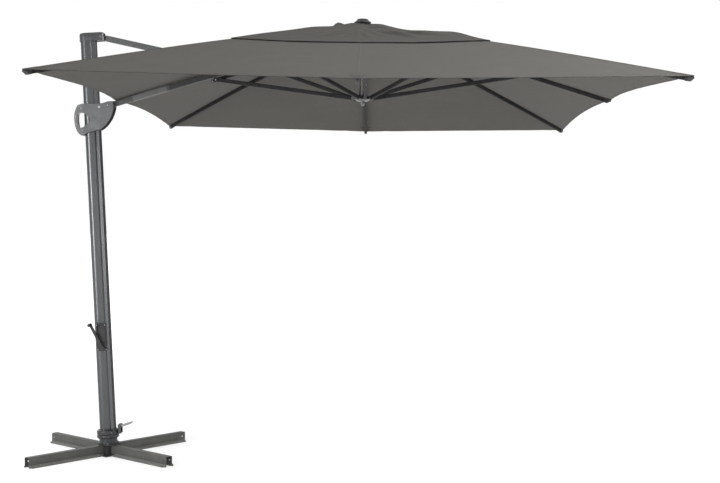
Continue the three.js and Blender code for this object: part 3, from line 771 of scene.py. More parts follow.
# crank housing, arm and knob
# the housing is black moulded plastic, and its black also stands for the arm's shadow falling on it: partly a painted
# shade
refine("crank_housing", M_BLACK, bevel=2.2, segments=3)
bm = bmesh.new()
for x, z in ((-26, 636), (22, 636), (-26, 784), (22, 784)):
    screw_head(bm, face_y(x, -49.8, z), r=2.8, h=1.4)
finish_mesh("crank_housing_screws", bm, "mast", M_STEEL, m=MAST)
refine("crank_arm", M_FRAME, bevel=1.6, segments=3)
ka = rad(-27) + LEAN
bm = bmesh.new()
prof = rounded([(0, 0), (7.5, 0), (10.0, 3), (9.6, 8), (8.6, 14), (9.2, 22), (10.2, 30), (9.4, 36), (6.5, 38.6), (0, 39)], 2.5, 3)
lathe(bm, [(r, -z) for r, z in prof], T(4 + 158 * math.sin(ka), -68.3, 645 + 158 * math.cos(ka)) @ Matrix.Rotation(rad(-90), 4, "X"), 40)
finish_mesh("crank_knob_fine", bm, "crank_knob", M_BLACK, ["crank_knob"], m=MAST)

# ------------------------------------------------------------------ slider: two cast half shells with a loop handle
OUT = [(-75.5, 2116.9), (-40.5, 2121), (5.7, 2120.6), (51.9, 2118.2), (75.1, 2119), (106.4, 2127.1), (129.6, 2127.8), (140.8, 2121.5), (142.6, 2102.1), (138.7, 2079.1), (129.6, 2052.6), (116.7, 2026.2), (95.9, 1996.4), (75.6, 1976.2), (51.7, 1960.1), (20.5, 1953.9), (-14.7, 1944.1), (-42.3, 1933.1), (-61.8, 1929.1), (-76.7, 1939.5), (-91.1, 1959.5), (-101.1, 1990.9), (-104.2, 2021.9), (-103.4, 2052.7), (-96.5, 2083.3), (-86.8, 2105.9)]
GRIP = [(-74, 2068.6), (-49, 2067.4), (-35.9, 2060.2), (-17.3, 2046.5), (-5.4, 2030.4), (-4.4, 2018.8), (-15.6, 2004), (-39.5, 1987.8), (-49.6, 1979.8), (-74, 1977.2), (-82.7, 1995.8), (-84.7, 2032.5), (-81, 2061.3)]
OUTS, GRIPS = catmull(OUT, 4), catmull(GRIP, 4)


def scaled(pts, s):
    """Moves an outline inwards by s millimetres along its own normals."""
    k, out = len(pts), []
    area = sum(pts[i][0] * pts[(i + 1) % k][1] - pts[(i + 1) % k][0] * pts[i][1] for i in range(k))
    sign = 1 if area > 0 else -1
    for i in range(k):
        a, b = Vector(pts[i - 1]), Vector(pts[(i + 1) % k])
        t = (b - a).normalized()
        out.append(tuple(Vector(pts[i]) + Vector((-t.y, t.x)) * s * sign))
    return out


def shell(side):
    """side -1 near, +1 far."""
    def y(v):
        return side * v
    bm = bmesh.new()
    ring_loft(bm, [[(x, y(d), z) for x, z in scaled(OUTS, s)] for d, s in ((0.15, 0), (38.0, 0), (42.6, 0.5), (45.0, 1.9), (46.3, 4.4))])
    hole = bmesh.new()
    ring_loft(hole, [[(x, y(d), z) for x, z in scaled(GRIPS, s)] for d, s in ((-5, 0), (36.0, 0), (43.0, -0.6), (45.2, -2.0), (46.4, -4.2), (50, -4.4))])
    bm = boolean(bm, hole)
    bm = boolean(bm, block(-50.5, 200, -38.3, 38.3, 1900, 2200))
    lo_y, hi_y = sorted((y(24), y(60)))
    # the handle loop is narrower than the cheeks and meets them on a slanted step
    cutter = bmesh.new()
    ring_loft(cutter, [[(x, yy, z) for x, yy in [(-130, lo_y), (-130, hi_y), (-56 if side < 0 else -64, hi_y), (-64 if side < 0 else -56, lo_y)]] for z in (1900, 2200)])
    bm = boolean(bm, cutter)
    # cast groove on each cheek between the handle roots and the plate
    for z0, z1 in ((2076, 2124), (1930, 1972)):
        lo2, hi2 = sorted((y(45.1), y(50)))
        bm = boolean(bm, block(-30.4, -28.6, lo2, hi2, z0, z1))
    return bm


for side, nm in ((-1, "near"), (1, "far")):
    finish_mesh("slider_cheek_" + nm, shell(side), "slider", M_CAST, ["slider_shell_" + nm], sharp=30, m=MAST)

bm = bmesh.new()
for s in (1, -1):
    for x, z, r in ((-53.5, 2092, 3.6), (-54.5, 1958.7, 3.6)):
        screw_head(bm, face_y(x, -s * 44.9, z, s > 0), r=r, h=2.4)
    screw_head(bm, face_y(105.2, -s * 49.3, 2104, s > 0), r=4.0, h=1.4)
    for z in (2000, 2046):
        screw_head(bm, face_y(-94, -s * 23.6, z, s > 0), r=2.6, h=1.4)
finish_mesh("slider_screws", bm, "slider", M_STEEL, m=MAST)
refine("slider_roller", M_BLACK, bevel=0.6)
refine("slider_axle", M_STEEL, bevel=0.8)
refine("beam_pivot_pin", M_DARKSTEEL, bevel=0.8)
# black plastic liner pads between the cheeks and the mast
bm = bmesh.new()
for s in (1, -1):
    for z0, z1 in ((2070, 2112), (1962, 1990)):
        y0, y1 = sorted((s * 35.6, s * 38.1))
        b2 = block(-8, 12, y0, y1, z0, z1)
        tmp = bpy.data.meshes.new("t")
        b2.to_mesh(tmp)
        b2.free()
        bm.from_mesh(tmp)
        bpy.data.meshes.remove(tmp)
finish_mesh("slider_glide_pads", bm, "slider", M_BLACK, m=MAST)

# ------------------------------------------------------------------ beam and tie bar
refine("beam_knuckle", M_BLACK, bevel=1.6, segments=3)
BM_LEN = 1436.0
for nm, x0, x1, w, h, mt, sl in (("beam_lower_tube", 36.3, 148, 28, 34, M_TUBE, "mast_paint"), ("beam_sleeve", 148.3, 375, 32, 37, M_SLEEVE, "bare_alu"),
                                 ("beam_main_tube", 375.3, BM_LEN, 32, 38, M_FRAME, "frame_paint")):
    bm = bmesh.new()
    tube_along(bm, x0, x1, w, h, 2.5, r=6.5, n=6)
    finish_mesh(nm + "_fine", bm, "beam", mt, [nm], sharp=40, m=BEAM)
# end collars where the tubes meet, and the bolts of the tie bar's pin
bm = bmesh.new()
tube_along(bm, 142, 152, 34.5, 39.5, 2.2, r=7, n=5)
tube_along(bm, 366, 384, 34.6, 41, 2.2, r=7, n=5)
finish_mesh("beam_collars", bm, "beam", M_TUBE, sharp=40, m=BEAM)
bm = bmesh.new()
for s in (1, -1):
    hex_bolt(bm, T(TIE_ON_BEAM, -s * 25.2, 0) @ Matrix.Rotation(rad(90 * s), 4, "X"), af=11, h=4)
finish_mesh("tie_pin_bolts", bm, "tie_bar", M_STEEL, m=BEAM)
refine("tie_bar_eye", M_BLACK, bevel=1.2)
bm = bmesh.new()
tube_along(bm, 28.3, TIE_LEN - 116, 25, 36, 2.5, r=5.0, n=5)
finish_mesh("tie_bar_fine", bm, "tie_bar", M_TIE, ["tie_bar"], sharp=40, m=TIE)
refine("tie_bar_fork", M_BLACK, bevel=1.4)
refine("beam_end_bracket", M_BLACK, bevel=1.4)

# ------------------------------------------------------------------ hub, pole, runner
HUB = T(CX, 0, 0)
refine("top_hub", M_BLACK, bevel=0.9)
bm = bmesh.new()
lathe(bm, rounded([(0, 2118.2), (12.5, 2118.2), (12.5, 2502.5), (0, 2502.5)], 1.0, 2), n=48)
finish_mesh("centre_pole_fine", bm, "beam", M_ALU, ["centre_pole"], m=HUB)
bm = bmesh.new()
lathe(bm, rounded([(0, 2104), (6.2, 2104), (8.6, 2107), (9.6, 2111), (12.4, 2113.5), (12.4, 2117.7), (0, 2117.7)], 1.2, 3), n=48)
finish_mesh("pole_tip_fine", bm, "beam", M_ALU, ["pole_tip"], m=HUB)
bm = bmesh.new()
lathe(bm, rounded([(0, 2600), (44, 2600), (52, 2603), (52.5, 2607), (49, 2611), (42, 2615), (37, 2619), (34, 2624.5), (30, 2628.2), (22, 2629), (0, 2629)], 2.4, 4), n=72)
finish_mesh("crown_finial_fine", bm, "beam", M_BLACK, ["crown_finial"], m=HUB)
refine("strut_runner", M_ALU, bevel=0.9)
bm = bmesh.new()
lathe(bm, rounded([(13.4, 2132), (30, 2132), (38, 2136.5), (45.6, 2141), (45.6, 2146), (38, 2150.5), (34.5, 2164), (13.4, 2165), (13.4, 2132)], 1.5, 3), n=72)
finish_mesh("runner_dish", bm, "runner", M_ALU, m=HUB)


# ------------------------------------------------------------------ ribs, struts and their fittings
BOW = [22.0 * run / 2500 * (0.8 if name == "left" else 1) for name, _, run, _, _ in RIBS]


def bow(k, t):
    """How far the pull of the cloth bends rib k up above the straight line from hub to tip."""
    return BOW[k] * math.sin(math.pi * min(1.0, max(0.0, (t - 0.03) / 0.97)) ** 0.8)


def rib_frame(i):
    name, az, run, z_tip, pin = RIBS[i]
    short = name == "left"
    zp = 2512.0 if short else 2552.0

    def roof(r):
        return Z_APEX + (z_tip - Z_APEX) * r / run
    p = (pin, STRUT_PIN_LEFT if short else roof(pin) - 24)
    tip = p if short else (run - 22, roof(run - 22) - 13 - 4)
    a = math.atan2(zp - tip[1], tip[0] - HUB_R)
    ln = math.hypot(zp - tip[1], tip[0] - HUB_R)
    turn = T(CX, 0, 0) @ RZm(rad(az))
    rib = turn @ T(HUB_R, 0, zp) @ RYm(a)
    b = math.atan2(p[1] - Z_RUNNER, p[0] - HUB_R)
    sl = math.hypot(p[1] - Z_RUNNER, p[0] - HUB_R)
    strut = turn @ T(HUB_R, STRUT_SIDE, Z_RUNNER) @ RYm(-b)
    return dict(name=name, short=short, rib=rib, len=ln, strut=strut, slen=sl, turn=turn, pin=p, a=a, zp=zp)


for i in range(8):
    f = rib_frame(i)
    nm, short = f["name"], f["short"]
    bm = bmesh.new()
    d = 22 if short else 26
    run = RIBS[i][2]

    def up(x):
        return 0.0 if short else bow(i, (HUB_R + x * math.cos(f["a"])) / run)
    end = f["len"] + 16 if short else f["len"] - 26
    xs = [-2, -1.3] + list(np.linspace(20, end - 20, 26)) + [end - 0.7, end]
    bowed_tube(bm, xs, up, 15, d, 1.6, 3.4)
    if not short:  # a rolled bead along both faces of the rib
        for s in (1, -1):
            ring_loft(bm, [[(x, s * (7.3 + a), b + up(x)) for a, b in ((0, -2.4), (0.7, -1.5), (0.7, 1.5), (0, 2.4))] for x in np.linspace(30, end - 14, 26)])
    finish_mesh("rib_%s_fine" % nm, bm, "rib_" + nm, M_RIB, ["rib_" + nm], sharp=40, m=f["rib"])
    # bracket that carries the strut's pin: two ears, one on each side of the rib
    bm = bmesh.new()
    to_rib = f["rib"].inverted() @ f["turn"]
    pin = to_rib @ Vector((f["pin"][0], 0, f["pin"][1]))
    x0, z0 = pin.x, pin.z
    hi, low = up(x0) + 8, z0 - 9
    for s in (1, -1):
        ear = rounded([(x0 - 36, hi), (x0 + 32, hi), (x0 + 32, hi - 17), (x0 + 11, low), (x0 - 11, low), (x0 - 36, hi - 17)], 6, 4, closed=True)
        ring_loft(bm, [[(p[0], y, p[1]) for p in ear] for y in (s * 7.9, s * 9.3)])
    finish_mesh("strut_bracket_" + nm, bm, "rib_" + nm, M_BLACK, m=f["rib"])
    bm = bmesh.new()
    hex_bolt(bm, T(x0, -9.3, z0) @ Matrix.Rotation(rad(90), 4, "X"), af=10, h=4)
    for dx in (-26, 23):
        screw_head(bm, T(x0 + dx, -9.3, hi - 8) @ Matrix.Rotation(rad(90), 4, "X"), r=3, h=1.6)
        screw_head(bm, T(x0 + dx, 9.3, hi - 8) @ Matrix.Rotation(rad(-90), 4, "X"), r=3, h=1.6)
    finish_mesh("bracket_bolts_" + nm, bm, "rib_" + nm, M_STEEL, m=f["rib"])
    if not short:  # pointed end cap that holds the corner of the cloth
        bm = bmesh.new()
        ln = f["len"]
        secs = [(ln - 25.7, 19, 27, 4.5, 0), (ln - 24, 20, 28, 5, 0), (ln - 2, 20, 28, 5, 0), (ln + 4, 18, 24, 5, 1), (ln + 12, 13, 15, 5, 3.5), (ln + 18, 9.5, 10, 4, 5), (ln + 20, 6, 6.5, 2.6, 5.2)]
        ring_loft(bm, [[(x, p[0], p[1]) for p in rect(w, h, r, 5, 0, dz)] for x, w, h, r, dz in secs])
        finish_mesh("rib_end_" + nm, bm, "rib_" + nm, M_BLACK, ["rib_tip_" + nm], sharp=45, m=f["rib"])
    # strut
    bm = bmesh.new()
    tube_along(bm, -3, f["slen"] + 8, 15, 24, 1.5, r=4.0, n=5)
    finish_mesh("strut_%s_fine" % nm, bm, "strut_" + nm, M_RIB, ["strut_" + nm], sharp=40, m=f["strut"])
    bm = bmesh.new()
    for x in (0, f["slen"]):
        for s in (1, -1):
            lathe(bm, [(0, 0), (4.2, 0), (4.0, 0.9), (2.4, 1.6), (0, 1.7)], T(x, s * 7.5, 0) @ Matrix.Rotation(rad(-90 * s), 4, "X"), 20)
    finish_mesh("strut_rivets_" + nm, bm, "strut_" + nm, M_STEEL, m=f["strut"])

# ------------------------------------------------------------------ cloth
TIPS = [Vector((run * math.cos(rad(az)), run * math.sin(rad(az)), z)) for _, az, run, z, _ in RIBS]
PULL = [48 if (TIPS[k] - TIPS[(k + 1) % 8]).length > 1700 else 18 for k in range(8)]


def fold(x, y, cx, cy, ax, lng, wid, h):
    """A soft ridge of height h, long in direction ax (degrees)."""
    u, v = x - cx, y - cy
    c, s = math.cos(rad(ax)), math.sin(rad(ax))
    a, b = (u * c + v * s) / lng, (-u * s + v * c) / wid
    return h * math.exp(-a * a - b * b)


def ripple(x, y, wave, seed):
    return noise.noise(Vector((x / wave + seed, y / wave - seed, seed * 1.7)))


def main_point(k, w, t):
    """Middle of the main cloth, between rib k and rib k + 1, in millimetres from the canopy's axis."""
    p, q = TIPS[k], TIPS[(k + 1) % 8]
    b = p * (1 - w) + q * w
    shape = 4 * w * (1 - w)
    run = math.hypot(b.x, b.y)
    kk = t * (1 - PULL[k] * shape / run * t ** 3)
    x, y = b.x * kk, b.y * kk
    z = Z_APEX + (b.z - Z_APEX) * kk
    z += (1 - w) * bow(k, t) + w * bow((k + 1) % 8, t) - 2.6  # it lies on the bowed ribs
    z -= shape * 15.0 * t * t * (1.15 - t) * 2.2  # and sags between them
    # tension waves that fan out of the corners and die towards the middle
    edge = min(w, 1 - w)
    z += 2.3 * math.sin(edge * 46 + 3 * t) * math.exp(-edge * 9) * t ** 3 * min(1.0, edge * 14)
    z += (ripple(x, y, 420, 3.1 + k * 0) * 5.0 + ripple(x, y, 150, 7.7) * 1.3) * min(1.0, shape * 1.6) * min(1, 4 * (1.04 - t))
    # the hem is drawn in slightly between its stitches
    z += 0.9 * ripple(x, y, 60, 1.3) * max(0, (t - 0.9) * 10) * min(1.0, shape * 3)
    return Vector((x, y, z))


CREASES = [(-105, -540, 62, 150, 20, 8), (-60, -620, 74, 120, 17, 9), (-20, -560, 88, 130, 15, 7), (25, -640, 100, 110, 17, 8), (-150, -620, 55, 110, 24, 6),
           (150, -560, 121, 130, 18, 9), (205, -620, 117, 120, 17, 10), (255, -670, 114, 100, 18, 9), (310, -600, 126, 120, 22, 8), (90, -590, 108, 120, 20, 5),
           (370, -650, 132, 110, 26, 6), (-10, -300, 92, 110, 26, 6), (120, -300, 118, 110, 26, 7), (-130, -290, 62, 110, 28, 6), (60, 560, 80, 150, 26, 7),
           (-160, 600, 118, 150, 28, 7), (230, 600, 60, 140, 26, 7), (480, -60, 5, 150, 28, 6), (-470, 90, 170, 150, 28, 6)]


def crown_point(k, w, t):
    """Middle of the vent's cover."""
    p, q = TIPS[k], TIPS[(k + 1) % 8]
    b = p * (1 - w) + q * w
    shape = 4 * w * (1 - w)
    run = math.hypot(b.x, b.y)
    tt = t / CROWN_T
    kk = t * (1 - 0.3 * PULL[k] * shape / run * tt ** 3)
    x, y = b.x * kk, b.y * kk
    z = Z_APEX + (b.z - Z_APEX) * kk
    z += (1 - w) * bow(k, t) + w * bow((k + 1) % 8, t)
    z += 16 - 13.2 * tt ** 2
    z -= shape * (9 * tt * (1.1 - tt) + 3.0 * tt ** 3)  # sag between the ribs
    z += (ripple(x, y, 420, 3.1) * 5.0 + ripple(x, y, 150, 7.7) * 1.3) * min(1.0, shape * 1.6) * tt ** 3
    # creases gathered round the centre, folds standing up by the finial and by one corner
    r = math.hypot(x, y)
    az = math.atan2(y, x)
    fade = math.exp(-((r - 250) / 210) ** 2)
    z += fade * 5.5 * math.sin(az * 13 + 1.7 * math.sin(az * 3) + r / 90)
    z += fade * 4.0 * ripple(x, y, 90, 5.2) + 2.6 * ripple(x, y, 210, 8.8) * min(1, tt * 2) * (1 - 0.8 * tt ** 4)
    z += fold(x, y, -148, -30, 80, 90, 34, 33) + fold(x, y, -100, -20, 80, 90, 60, 10) + fold(x, y, -60, 70, 110, 90, 40, 9)
    z += fold(x, y, 525, -690, -53, 130, 150, 13) + fold(x, y, 270, -365, -53, 170, 190, -8) + fold(x, y, 545, 300, -20, 150, 220, 14)
    for cx, cy, ax, lng, wid, h in CREASES:
        z += fold(x, y, cx, cy, ax, lng, wid, 1.35 * h)
    z += 5.0 * max(0, 1 - tt * 5)  # gathered under the finial
    return Vector((x, y, z))


def gore_grid(k, fn, ts, cols):
    """Points and normals on the gore of rib k: columns run from one mid line over the rib to the other."""
    pts, nrm, us = [], [], []
    prev = (k - 1) % 8
    for t in ts:
        row, nrow = [], []
        for c in cols:  # c from -0.5 to 0.5
            pan, w = (k, c) if c >= 0 else (prev, 1 + c)
            p = fn(pan, w, t)

            def normal(pn, ww):
                e, g = 1e-3, 1e-3
                w0, w1 = max(0, ww - e), min(1, ww + e)
                dw = fn(pn, w1, t) - fn(pn, w0, t)
                dt = fn(pn, ww, t + g) - fn(pn, ww, t - g)
                n = dt.cross(dw)
                n.normalize()
                return n if n.z > 0 else -n
            n = normal(pan, w)
            if c == 0:
                n = (n + normal(prev, 1.0)).normalized()
            row.append(p)
            nrow.append(n)
        pts.append(row)
        nrm.append(nrow)
    return pts, nrm


def cloth_gore(name, k, fn, ts, cols, thick, band, band_thick, material, body_name, skip=None, keep=0.10):
    """One gore as a thin closed sheet. Returns the object and its area in square metres."""
    pts, nrm = gore_grid(k, fn, ts, cols)
    nt, nc = len(ts), len(cols)
    bm = bmesh.new()
    uvl = bm.loops.layers.uv.new("UVMap")
    top, bot, data = [], [], {}
    run = RIBS[k][2]
    for i, t in enumerate(ts):
        # distance from the hem along the gore
        a, b = [], []
        for j in range(nc):
            p, n = pts[i][j], nrm[i][j]
            v = (pts[-1][j] - p).length
            h = thick / 2
            ht = band_thick / 2 if t >= band else h
            u = 0.0
            mid = nc // 2
            if j != mid:
                u = math.copysign(sum((pts[i][q] - pts[i][q + 1]).length for q in range(min(j, mid), max(j, mid))), j - mid)
            vt = bm.verts.new((p + n * ht + Vector((CX, 0, 0))) / 1000)
            vb = bm.verts.new((p - n * h + Vector((CX, 0, 0))) / 1000)
            data[vt] = (u / 1000, v / 1000, n)
            data[vb] = (u / 1000, v / 1000, -n)
            a.append(vt)
            b.append(vb)
        top.append(a)
        bot.append(b)
    area = 0.0
    hole = set()
    for i in range(nt - 1):
        for j in range(nc - 1):
            if skip and skip(ts[i], ts[i + 1], cols[j], cols[j + 1]):
                hole.add((i, j))
                continue
            f = bm.faces.new((top[i][j], top[i + 1][j], top[i + 1][j + 1], top[i][j + 1]))
            bm.faces.new((bot[i][j], bot[i][j + 1], bot[i + 1][j + 1], bot[i + 1][j]))
            area += f.calc_area()

    def wall(a, b, c, d):
        try:
            bm.faces.new((a, b, c, d))
        except ValueError:
            pass
    for j in range(nc - 1):
        wall(top[0][j], top[0][j + 1], bot[0][j + 1], bot[0][j])
        wall(top[-1][j + 1], top[-1][j], bot[-1][j], bot[-1][j + 1])
    for i in range(nt - 1):
        wall(top[i + 1][0], top[i][0], bot[i][0], bot[i + 1][0])
        wall(top[i][-1], top[i + 1][-1], bot[i + 1][-1], bot[i][-1])
    for i, j in hole:
        for di, dj, q in ((-1, 0, ((0, 0), (0, 1))), (1, 0, ((1, 1), (1, 0))), (0, -1, ((1, 0), (0, 0))), (0, 1, ((0, 1), (1, 1)))):
            if (i + di, j + dj) not in hole:
                (a1, a2), (b1, b2) = q
                wall(top[i + a1][j + a2], top[i + b1][j + b2], bot[i + b1][j + b2], bot[i + a1][j + a2])
    bmesh.ops.recalc_face_normals(bm, faces=bm.faces)
    # outward faces: the biggest top face looks up
    bm.faces.ensure_lookup_table()
    up = next((f for f in bm.faces if all(v in set(top[1]) | set(top[2]) for v in f.verts)), None)
    if up and up.normal.z < 0:
        bmesh.ops.reverse_faces(bm, faces=bm.faces)
    for f in bm.faces:
        for lp in f.loops:
            lp[uvl].uv = data[lp.vert][:2]
    for v in [v for v in bm.verts if not v.link_faces]:
        data.pop(v, None)
        bm.verts.remove(v)
    bm.verts.index_update()
    order = sorted(data, key=lambda v: v.index)
    normals = [tuple(data[v][2]) for v in order]
    me = bpy.data.meshes.new(name)
    bm.to_mesh(me)
    bm.free()
    me.polygons.foreach_set("use_smooth", [True] * len(me.polygons))
    me.normals_split_custom_set_from_vertices(normals)
    me.materials.append(material)
    o = bpy.data.objects.new(name, me)
    COL.objects.link(o)
    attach(o, body_name)
    return o, area


def cols_for(n, close=(0.004, 0.012, 0.03)):
    right = [0.0] + list(close) + [close[-1] + (0.5 - close[-1]) * (i / n) for i in range(1, n + 1)]
    return [-c for c in right[::-1]] + right[1:]


MAIN_TS = {}
SLOT_T = (688 / 1500, 888 / 1500)
SLOT_W = 33 / (2000 * 0.525)
gores = {}
for k, (nm, az, run, zt, pin) in enumerate(RIBS):
    ts = list(np.linspace(VENT_T, 1 - 0.06, 26)) + [1 - 0.04, 1 - 0.0245 * 1000 / run, 1 - 0.0235 * 1000 / run, 1 - 0.012 * 1000 / run, 1.0]
    cols = cols_for(13)
    skip = None
    if nm == "left":
        ts = sorted(set([t for t in ts if min(abs(t - s) for s in SLOT_T) > 0.008] + list(SLOT_T)))
        cols = cols_for(13, (0.004, 0.012, SLOT_W, SLOT_W + 0.015))

        def skip(t0, t1, c0, c1):
            return t0 >= SLOT_T[0] - 1e-6 and t1 <= SLOT_T[1] + 1e-6 and min(c0, c1) >= -SLOT_W - 1e-6 and max(c0, c1) <= SLOT_W + 1e-6
    o, area = cloth_gore("canopy_gore_" + nm, k, main_point, ts, cols, 1.5, 1 - 0.024 * 1000 / run, 3.2, M_CLOTH, "rib_" + nm, skip)
    gores[nm] = (o, area)
    tang = (-math.sin(rad(az)), math.cos(rad(az)), 0)
    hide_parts("canopy_cloth")
    o["gore_area"] = area

    # crown gore
    ts2 = list(np.linspace(0.012, CROWN_T - 0.012, 46)) + [CROWN_T - 16.5 / run, CROWN_T - 15.5 / run, CROWN_T]
    o2, area2 = cloth_gore("crown_gore_" + nm, k, crown_point, ts2, cols_for(30), 1.4, CROWN_T - 16 / run, 3.0, M_CROWN_PAINTED_SHADE, "rib_" + nm)
    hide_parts("crown_cloth")
    gores["crown_" + nm] = (o2, area2)

    # flat-felled seam along the hip, laid on the cloth
    for fn, label, t0, t1 in ((main_point, "hip_seam_", VENT_T + 0.004, 1 - 0.006), (crown_point, "crown_seam_", 0.03, CROWN_T - 0.002)):
        bm = bmesh.new()
        uvl = bm.loops.layers.uv.new("UVMap")
        rows, info = [], {}
        n = 40
        side = Vector((-math.sin(rad(az)), math.cos(rad(az)), 0))
        dist, last = 0.0, None
        seg = [t0 + (t1 - t0) * i / n for i in range(n + 1)]
        if fn is main_point and nm == "left":
            seg = [t for t in seg if not SLOT_T[0] - 0.02 < t < SLOT_T[1] + 0.02]
        for t in seg:
            p = fn(k, 0.0, t)
            dist += (p - last).length if last is not None and (p - last).length < 120 else 0
            gap = last is not None and (p - last).length > 120
            last = p
            row = []
            for a, hgt in ((-7.0, 0.3), (-5.6, 1.2), (-2.0, 1.6), (0, 1.7), (2.0, 1.6), (5.6, 1.2), (7.0, 0.3), (0, -0.2)):
                q = p + side * a
                w = abs(a) / (TIPS[k] - TIPS[(k + 1) % 8]).length / t
                q.z = fn(k if a >= 0 else (k - 1) % 8, w if a >= 0 else 1 - w, t).z + hgt
                v = bm.verts.new((q + Vector((CX, 0, 0))) / 1000)
                info[v] = (dist / 1000, a / 1000)
                row.append(v)
            rows.append((row, gap))
        for (a, _), (b, gap) in zip(rows, rows[1:]):
            if gap:
                bm.faces.new(a)
                bm.faces.new(b[::-1])
                continue
            for i in range(8):
                j = (i + 1) % 8
                bm.faces.new((a[i], a[j], b[j], b[i]))
        bm.faces.new(rows[0][0][::-1])
        bm.faces.new(rows[-1][0])
        for f in bm.faces:
            for lp in f.loops:
                lp[uvl].uv = info[lp.vert]
        o3 = finish_mesh(label + nm, bm, "rib_" + nm, M_TAPE if fn is main_point else CROWN_SEAM_CLOTH_PAINTED_SHADE, sharp=60, weighted=False)
        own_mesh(o3)
    if nm != "left":  # reinforced corner pocket under and over the tip
        bm = bmesh.new()
        uvl = bm.loops.layers.uv.new("UVMap")
        info, lay = {}, []
        for sgn in (1, -1):
            grid = []
            for i in range(7):
                tt = 1 - (96 * (1 - i / 6)) / run
                wide = 12 + 30 * (1 - i / 6) if "_" in nm else 16 + 26 * (1 - i / 6)
                row = []
                for j in range(9):
                    a = wide * (j - 4) / 4
                    w = abs(a) / ((TIPS[k] - TIPS[(k + 1) % 8]).length * tt)
                    q = main_point(k if a >= 0 else (k - 1) % 8, w if a >= 0 else 1 - w, tt)
                    q = q + Vector((0, 0, sgn * (2.5 if 0 < j < 8 and 0 < i else 1.6)))
                    v = bm.verts.new((q + Vector((CX, 0, 0))) / 1000)
                    info[v] = ((96 * i / 6) / 1000, (abs(wide) - abs(a) - 4.2) / 1000)
                    row.append(v)
                grid.append(row)
            lay.append(grid)
            for i in range(6):
                for j in range(8):
                    q = (grid[i][j], grid[i + 1][j], grid[i + 1][j + 1], grid[i][j + 1])
                    bm.faces.new(q if sgn > 0 else q[::-1])
        up_, dn = lay
        rim = [(0, j) for j in range(9)] + [(i, 8) for i in range(1, 7)] + [(6, j) for j in range(7, -1, -1)] + [(i, 0) for i in range(5, 0, -1)]
        for a, b in zip(rim, rim[1:] + rim[:1]):
            bm.faces.new((up_[a[0]][a[1]], up_[b[0]][b[1]], dn[b[0]][b[1]], dn[a[0]][a[1]]))
        for f in bm.faces:
            for lp in f.loops:
                lp[uvl].uv = info[lp.vert]
        o4 = finish_mesh("corner_pocket_" + nm, bm, "rib_" + nm, M_POCKET, sharp=60, weighted=False)
        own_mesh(o4)

for k, (nm, az, run, zt, pin) in enumerate(RIBS):
    tang = (-math.sin(rad(az)), math.cos(rad(az)), 0)
    for key, label in ((nm, "canopy_gore_"), ("crown_" + nm, "crown_gore_")):
        o, area = gores[key]
        co = np.array([v.co for v in o.data.vertices])
        c, s = math.cos(rad(az)), math.sin(rad(az))
        x, y = co[:, 0] - CX / 1000, co[:, 1]
        rr, tt = x * c + y * s, -x * s + y * c
        L = float(np.hypot(rr.max() - rr.min(), co[:, 2].max() - co[:, 2].min()))
        W = float(tt.max() - tt.min())
        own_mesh(o)
        if area / (W * L) < 0.3:
            W = area / (0.3 * L) * 0.99

# bound edge of the slot that the tie bar passes through
bm = bmesh.new()
uvl = bm.loops.layers.uv.new("UVMap")
info = {}


def slot_point(t, y, up):
    w = min(0.5, abs(y) / (2000 * t))
    p = main_point(4 if y < 0 else 3, w if y < 0 else 1 - w, t)
    return Vector((p.x, y, p.z + up))


def slot_ring(off, up):
    t0, t1 = SLOT_T[0] - off / 1500, SLOT_T[1] + off / 1500
    pts = []
    for i in range(9):
        f = i / 8
        pts.append((t0 + (t1 - t0) * f, -1))
    for i in range(1, 5):
        pts.append((t1, -1 + 2 * i / 4))
    for i in range(7, -1, -1):
        pts.append((t0 + (t1 - t0) * i / 8, 1))
    for i in range(3, 0, -1):
        pts.append((t0, -1 + 2 * i / 4))
    out = []
    for t, s in pts:
        half = SLOT_W * 2000 * min(max(t, SLOT_T[0]), SLOT_T[1]) + off
        out.append(slot_point(t, s * half, up))
    return out


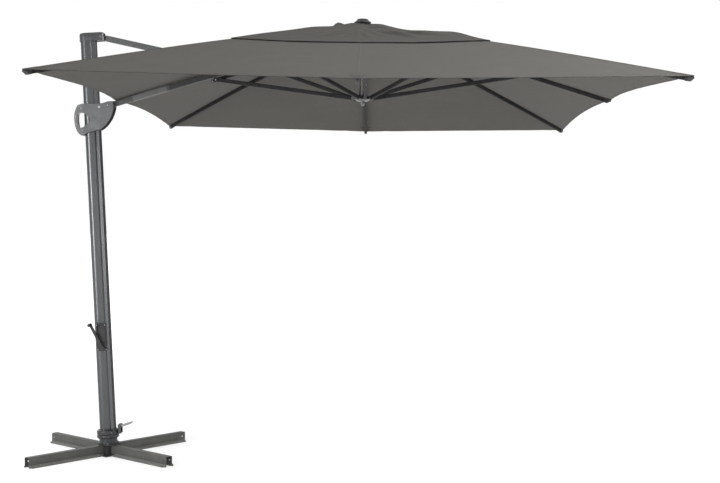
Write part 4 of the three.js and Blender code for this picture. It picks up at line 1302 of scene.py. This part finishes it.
rings = [slot_ring(-1.5, 1.2), slot_ring(-1.5, 2.3), slot_ring(2, 3.0), slot_ring(12, 2.8), slot_ring(14, 1.0), slot_ring(14, -0.4), slot_ring(12, -2.2), slot_ring(2, -2.4), slot_ring(-1.5, -1.6)]
vs = [[bm.verts.new((p + Vector((CX, 0, 0))) / 1000) for p in rg] for rg in rings]
d = [0.0]
for a, b in zip(rings[3], rings[3][1:]):
    d.append(d[-1] + (b - a).length)
for r_i, rg in enumerate(vs):
    for i, v in enumerate(rg):
        info[v] = (d[i] / 1000, (0.0042 if r_i in (2, 7) else -0.0042 if r_i in (3, 6) else 0.007))
for a, b in zip(vs, vs[1:] + vs[:1]):
    n = len(a)
    for i in range(n):
        j = (i + 1) % n
        bm.faces.new((a[i], a[j], b[j], b[i]))
for f in bm.faces:
    for lp in f.loops:
        lp[uvl].uv = info[lp.vert]
o = finish_mesh("slot_binding", bm, "rib_left", M_TAPE, sharp=60, weighted=False)
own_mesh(o)

# any CAD node that still shows gets a grained material too
for n, o in NODES.items():
    if not o.hide_render:
        o.data.materials.clear()
        o.data.materials.append(M_FRAME)

# ------------------------------------------------------------------ floor
bm = bmesh.new()
ring_loft(bm, [[(-60, -60, z), (60, -60, z), (60, 60, z), (-60, 60, z)] for z in (-0.02, -0.0005)])
me = bpy.data.meshes.new("floor")
bm.to_mesh(me)
bm.free()
floor = bpy.data.objects.new("floor", me)
COL.objects.link(floor)
n = Nodes("floor_pale")
fc = n.noise(n.co(), 0.9, 3)
sepf = n.new("SeparateXYZ")
n.link(n.co(), sepf.inputs[0])
away = n.math("SQRT", n.math("ADD", n.math("POWER", n.math("SUBTRACT", sepf.outputs["X"], 1.0), 2), n.math("POWER", sepf.outputs["Y"], 2)))
n.set(Base_Color=n.mix(n.range(fc, 0.3, 0.7, 0, 1), (0.46, 0.46, 0.46), (0.48, 0.48, 0.48)), Roughness=0.75, Specular_IOR_Level=0.2,
      Emission_Color=(1.0, 1.0, 1.0), Emission_Strength=n.range(away, 1.0, 9.0, 0.60, 1.0, True))
me.materials.append(n.m)
floor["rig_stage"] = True

bpy.context.view_layer.update()
lo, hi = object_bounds()
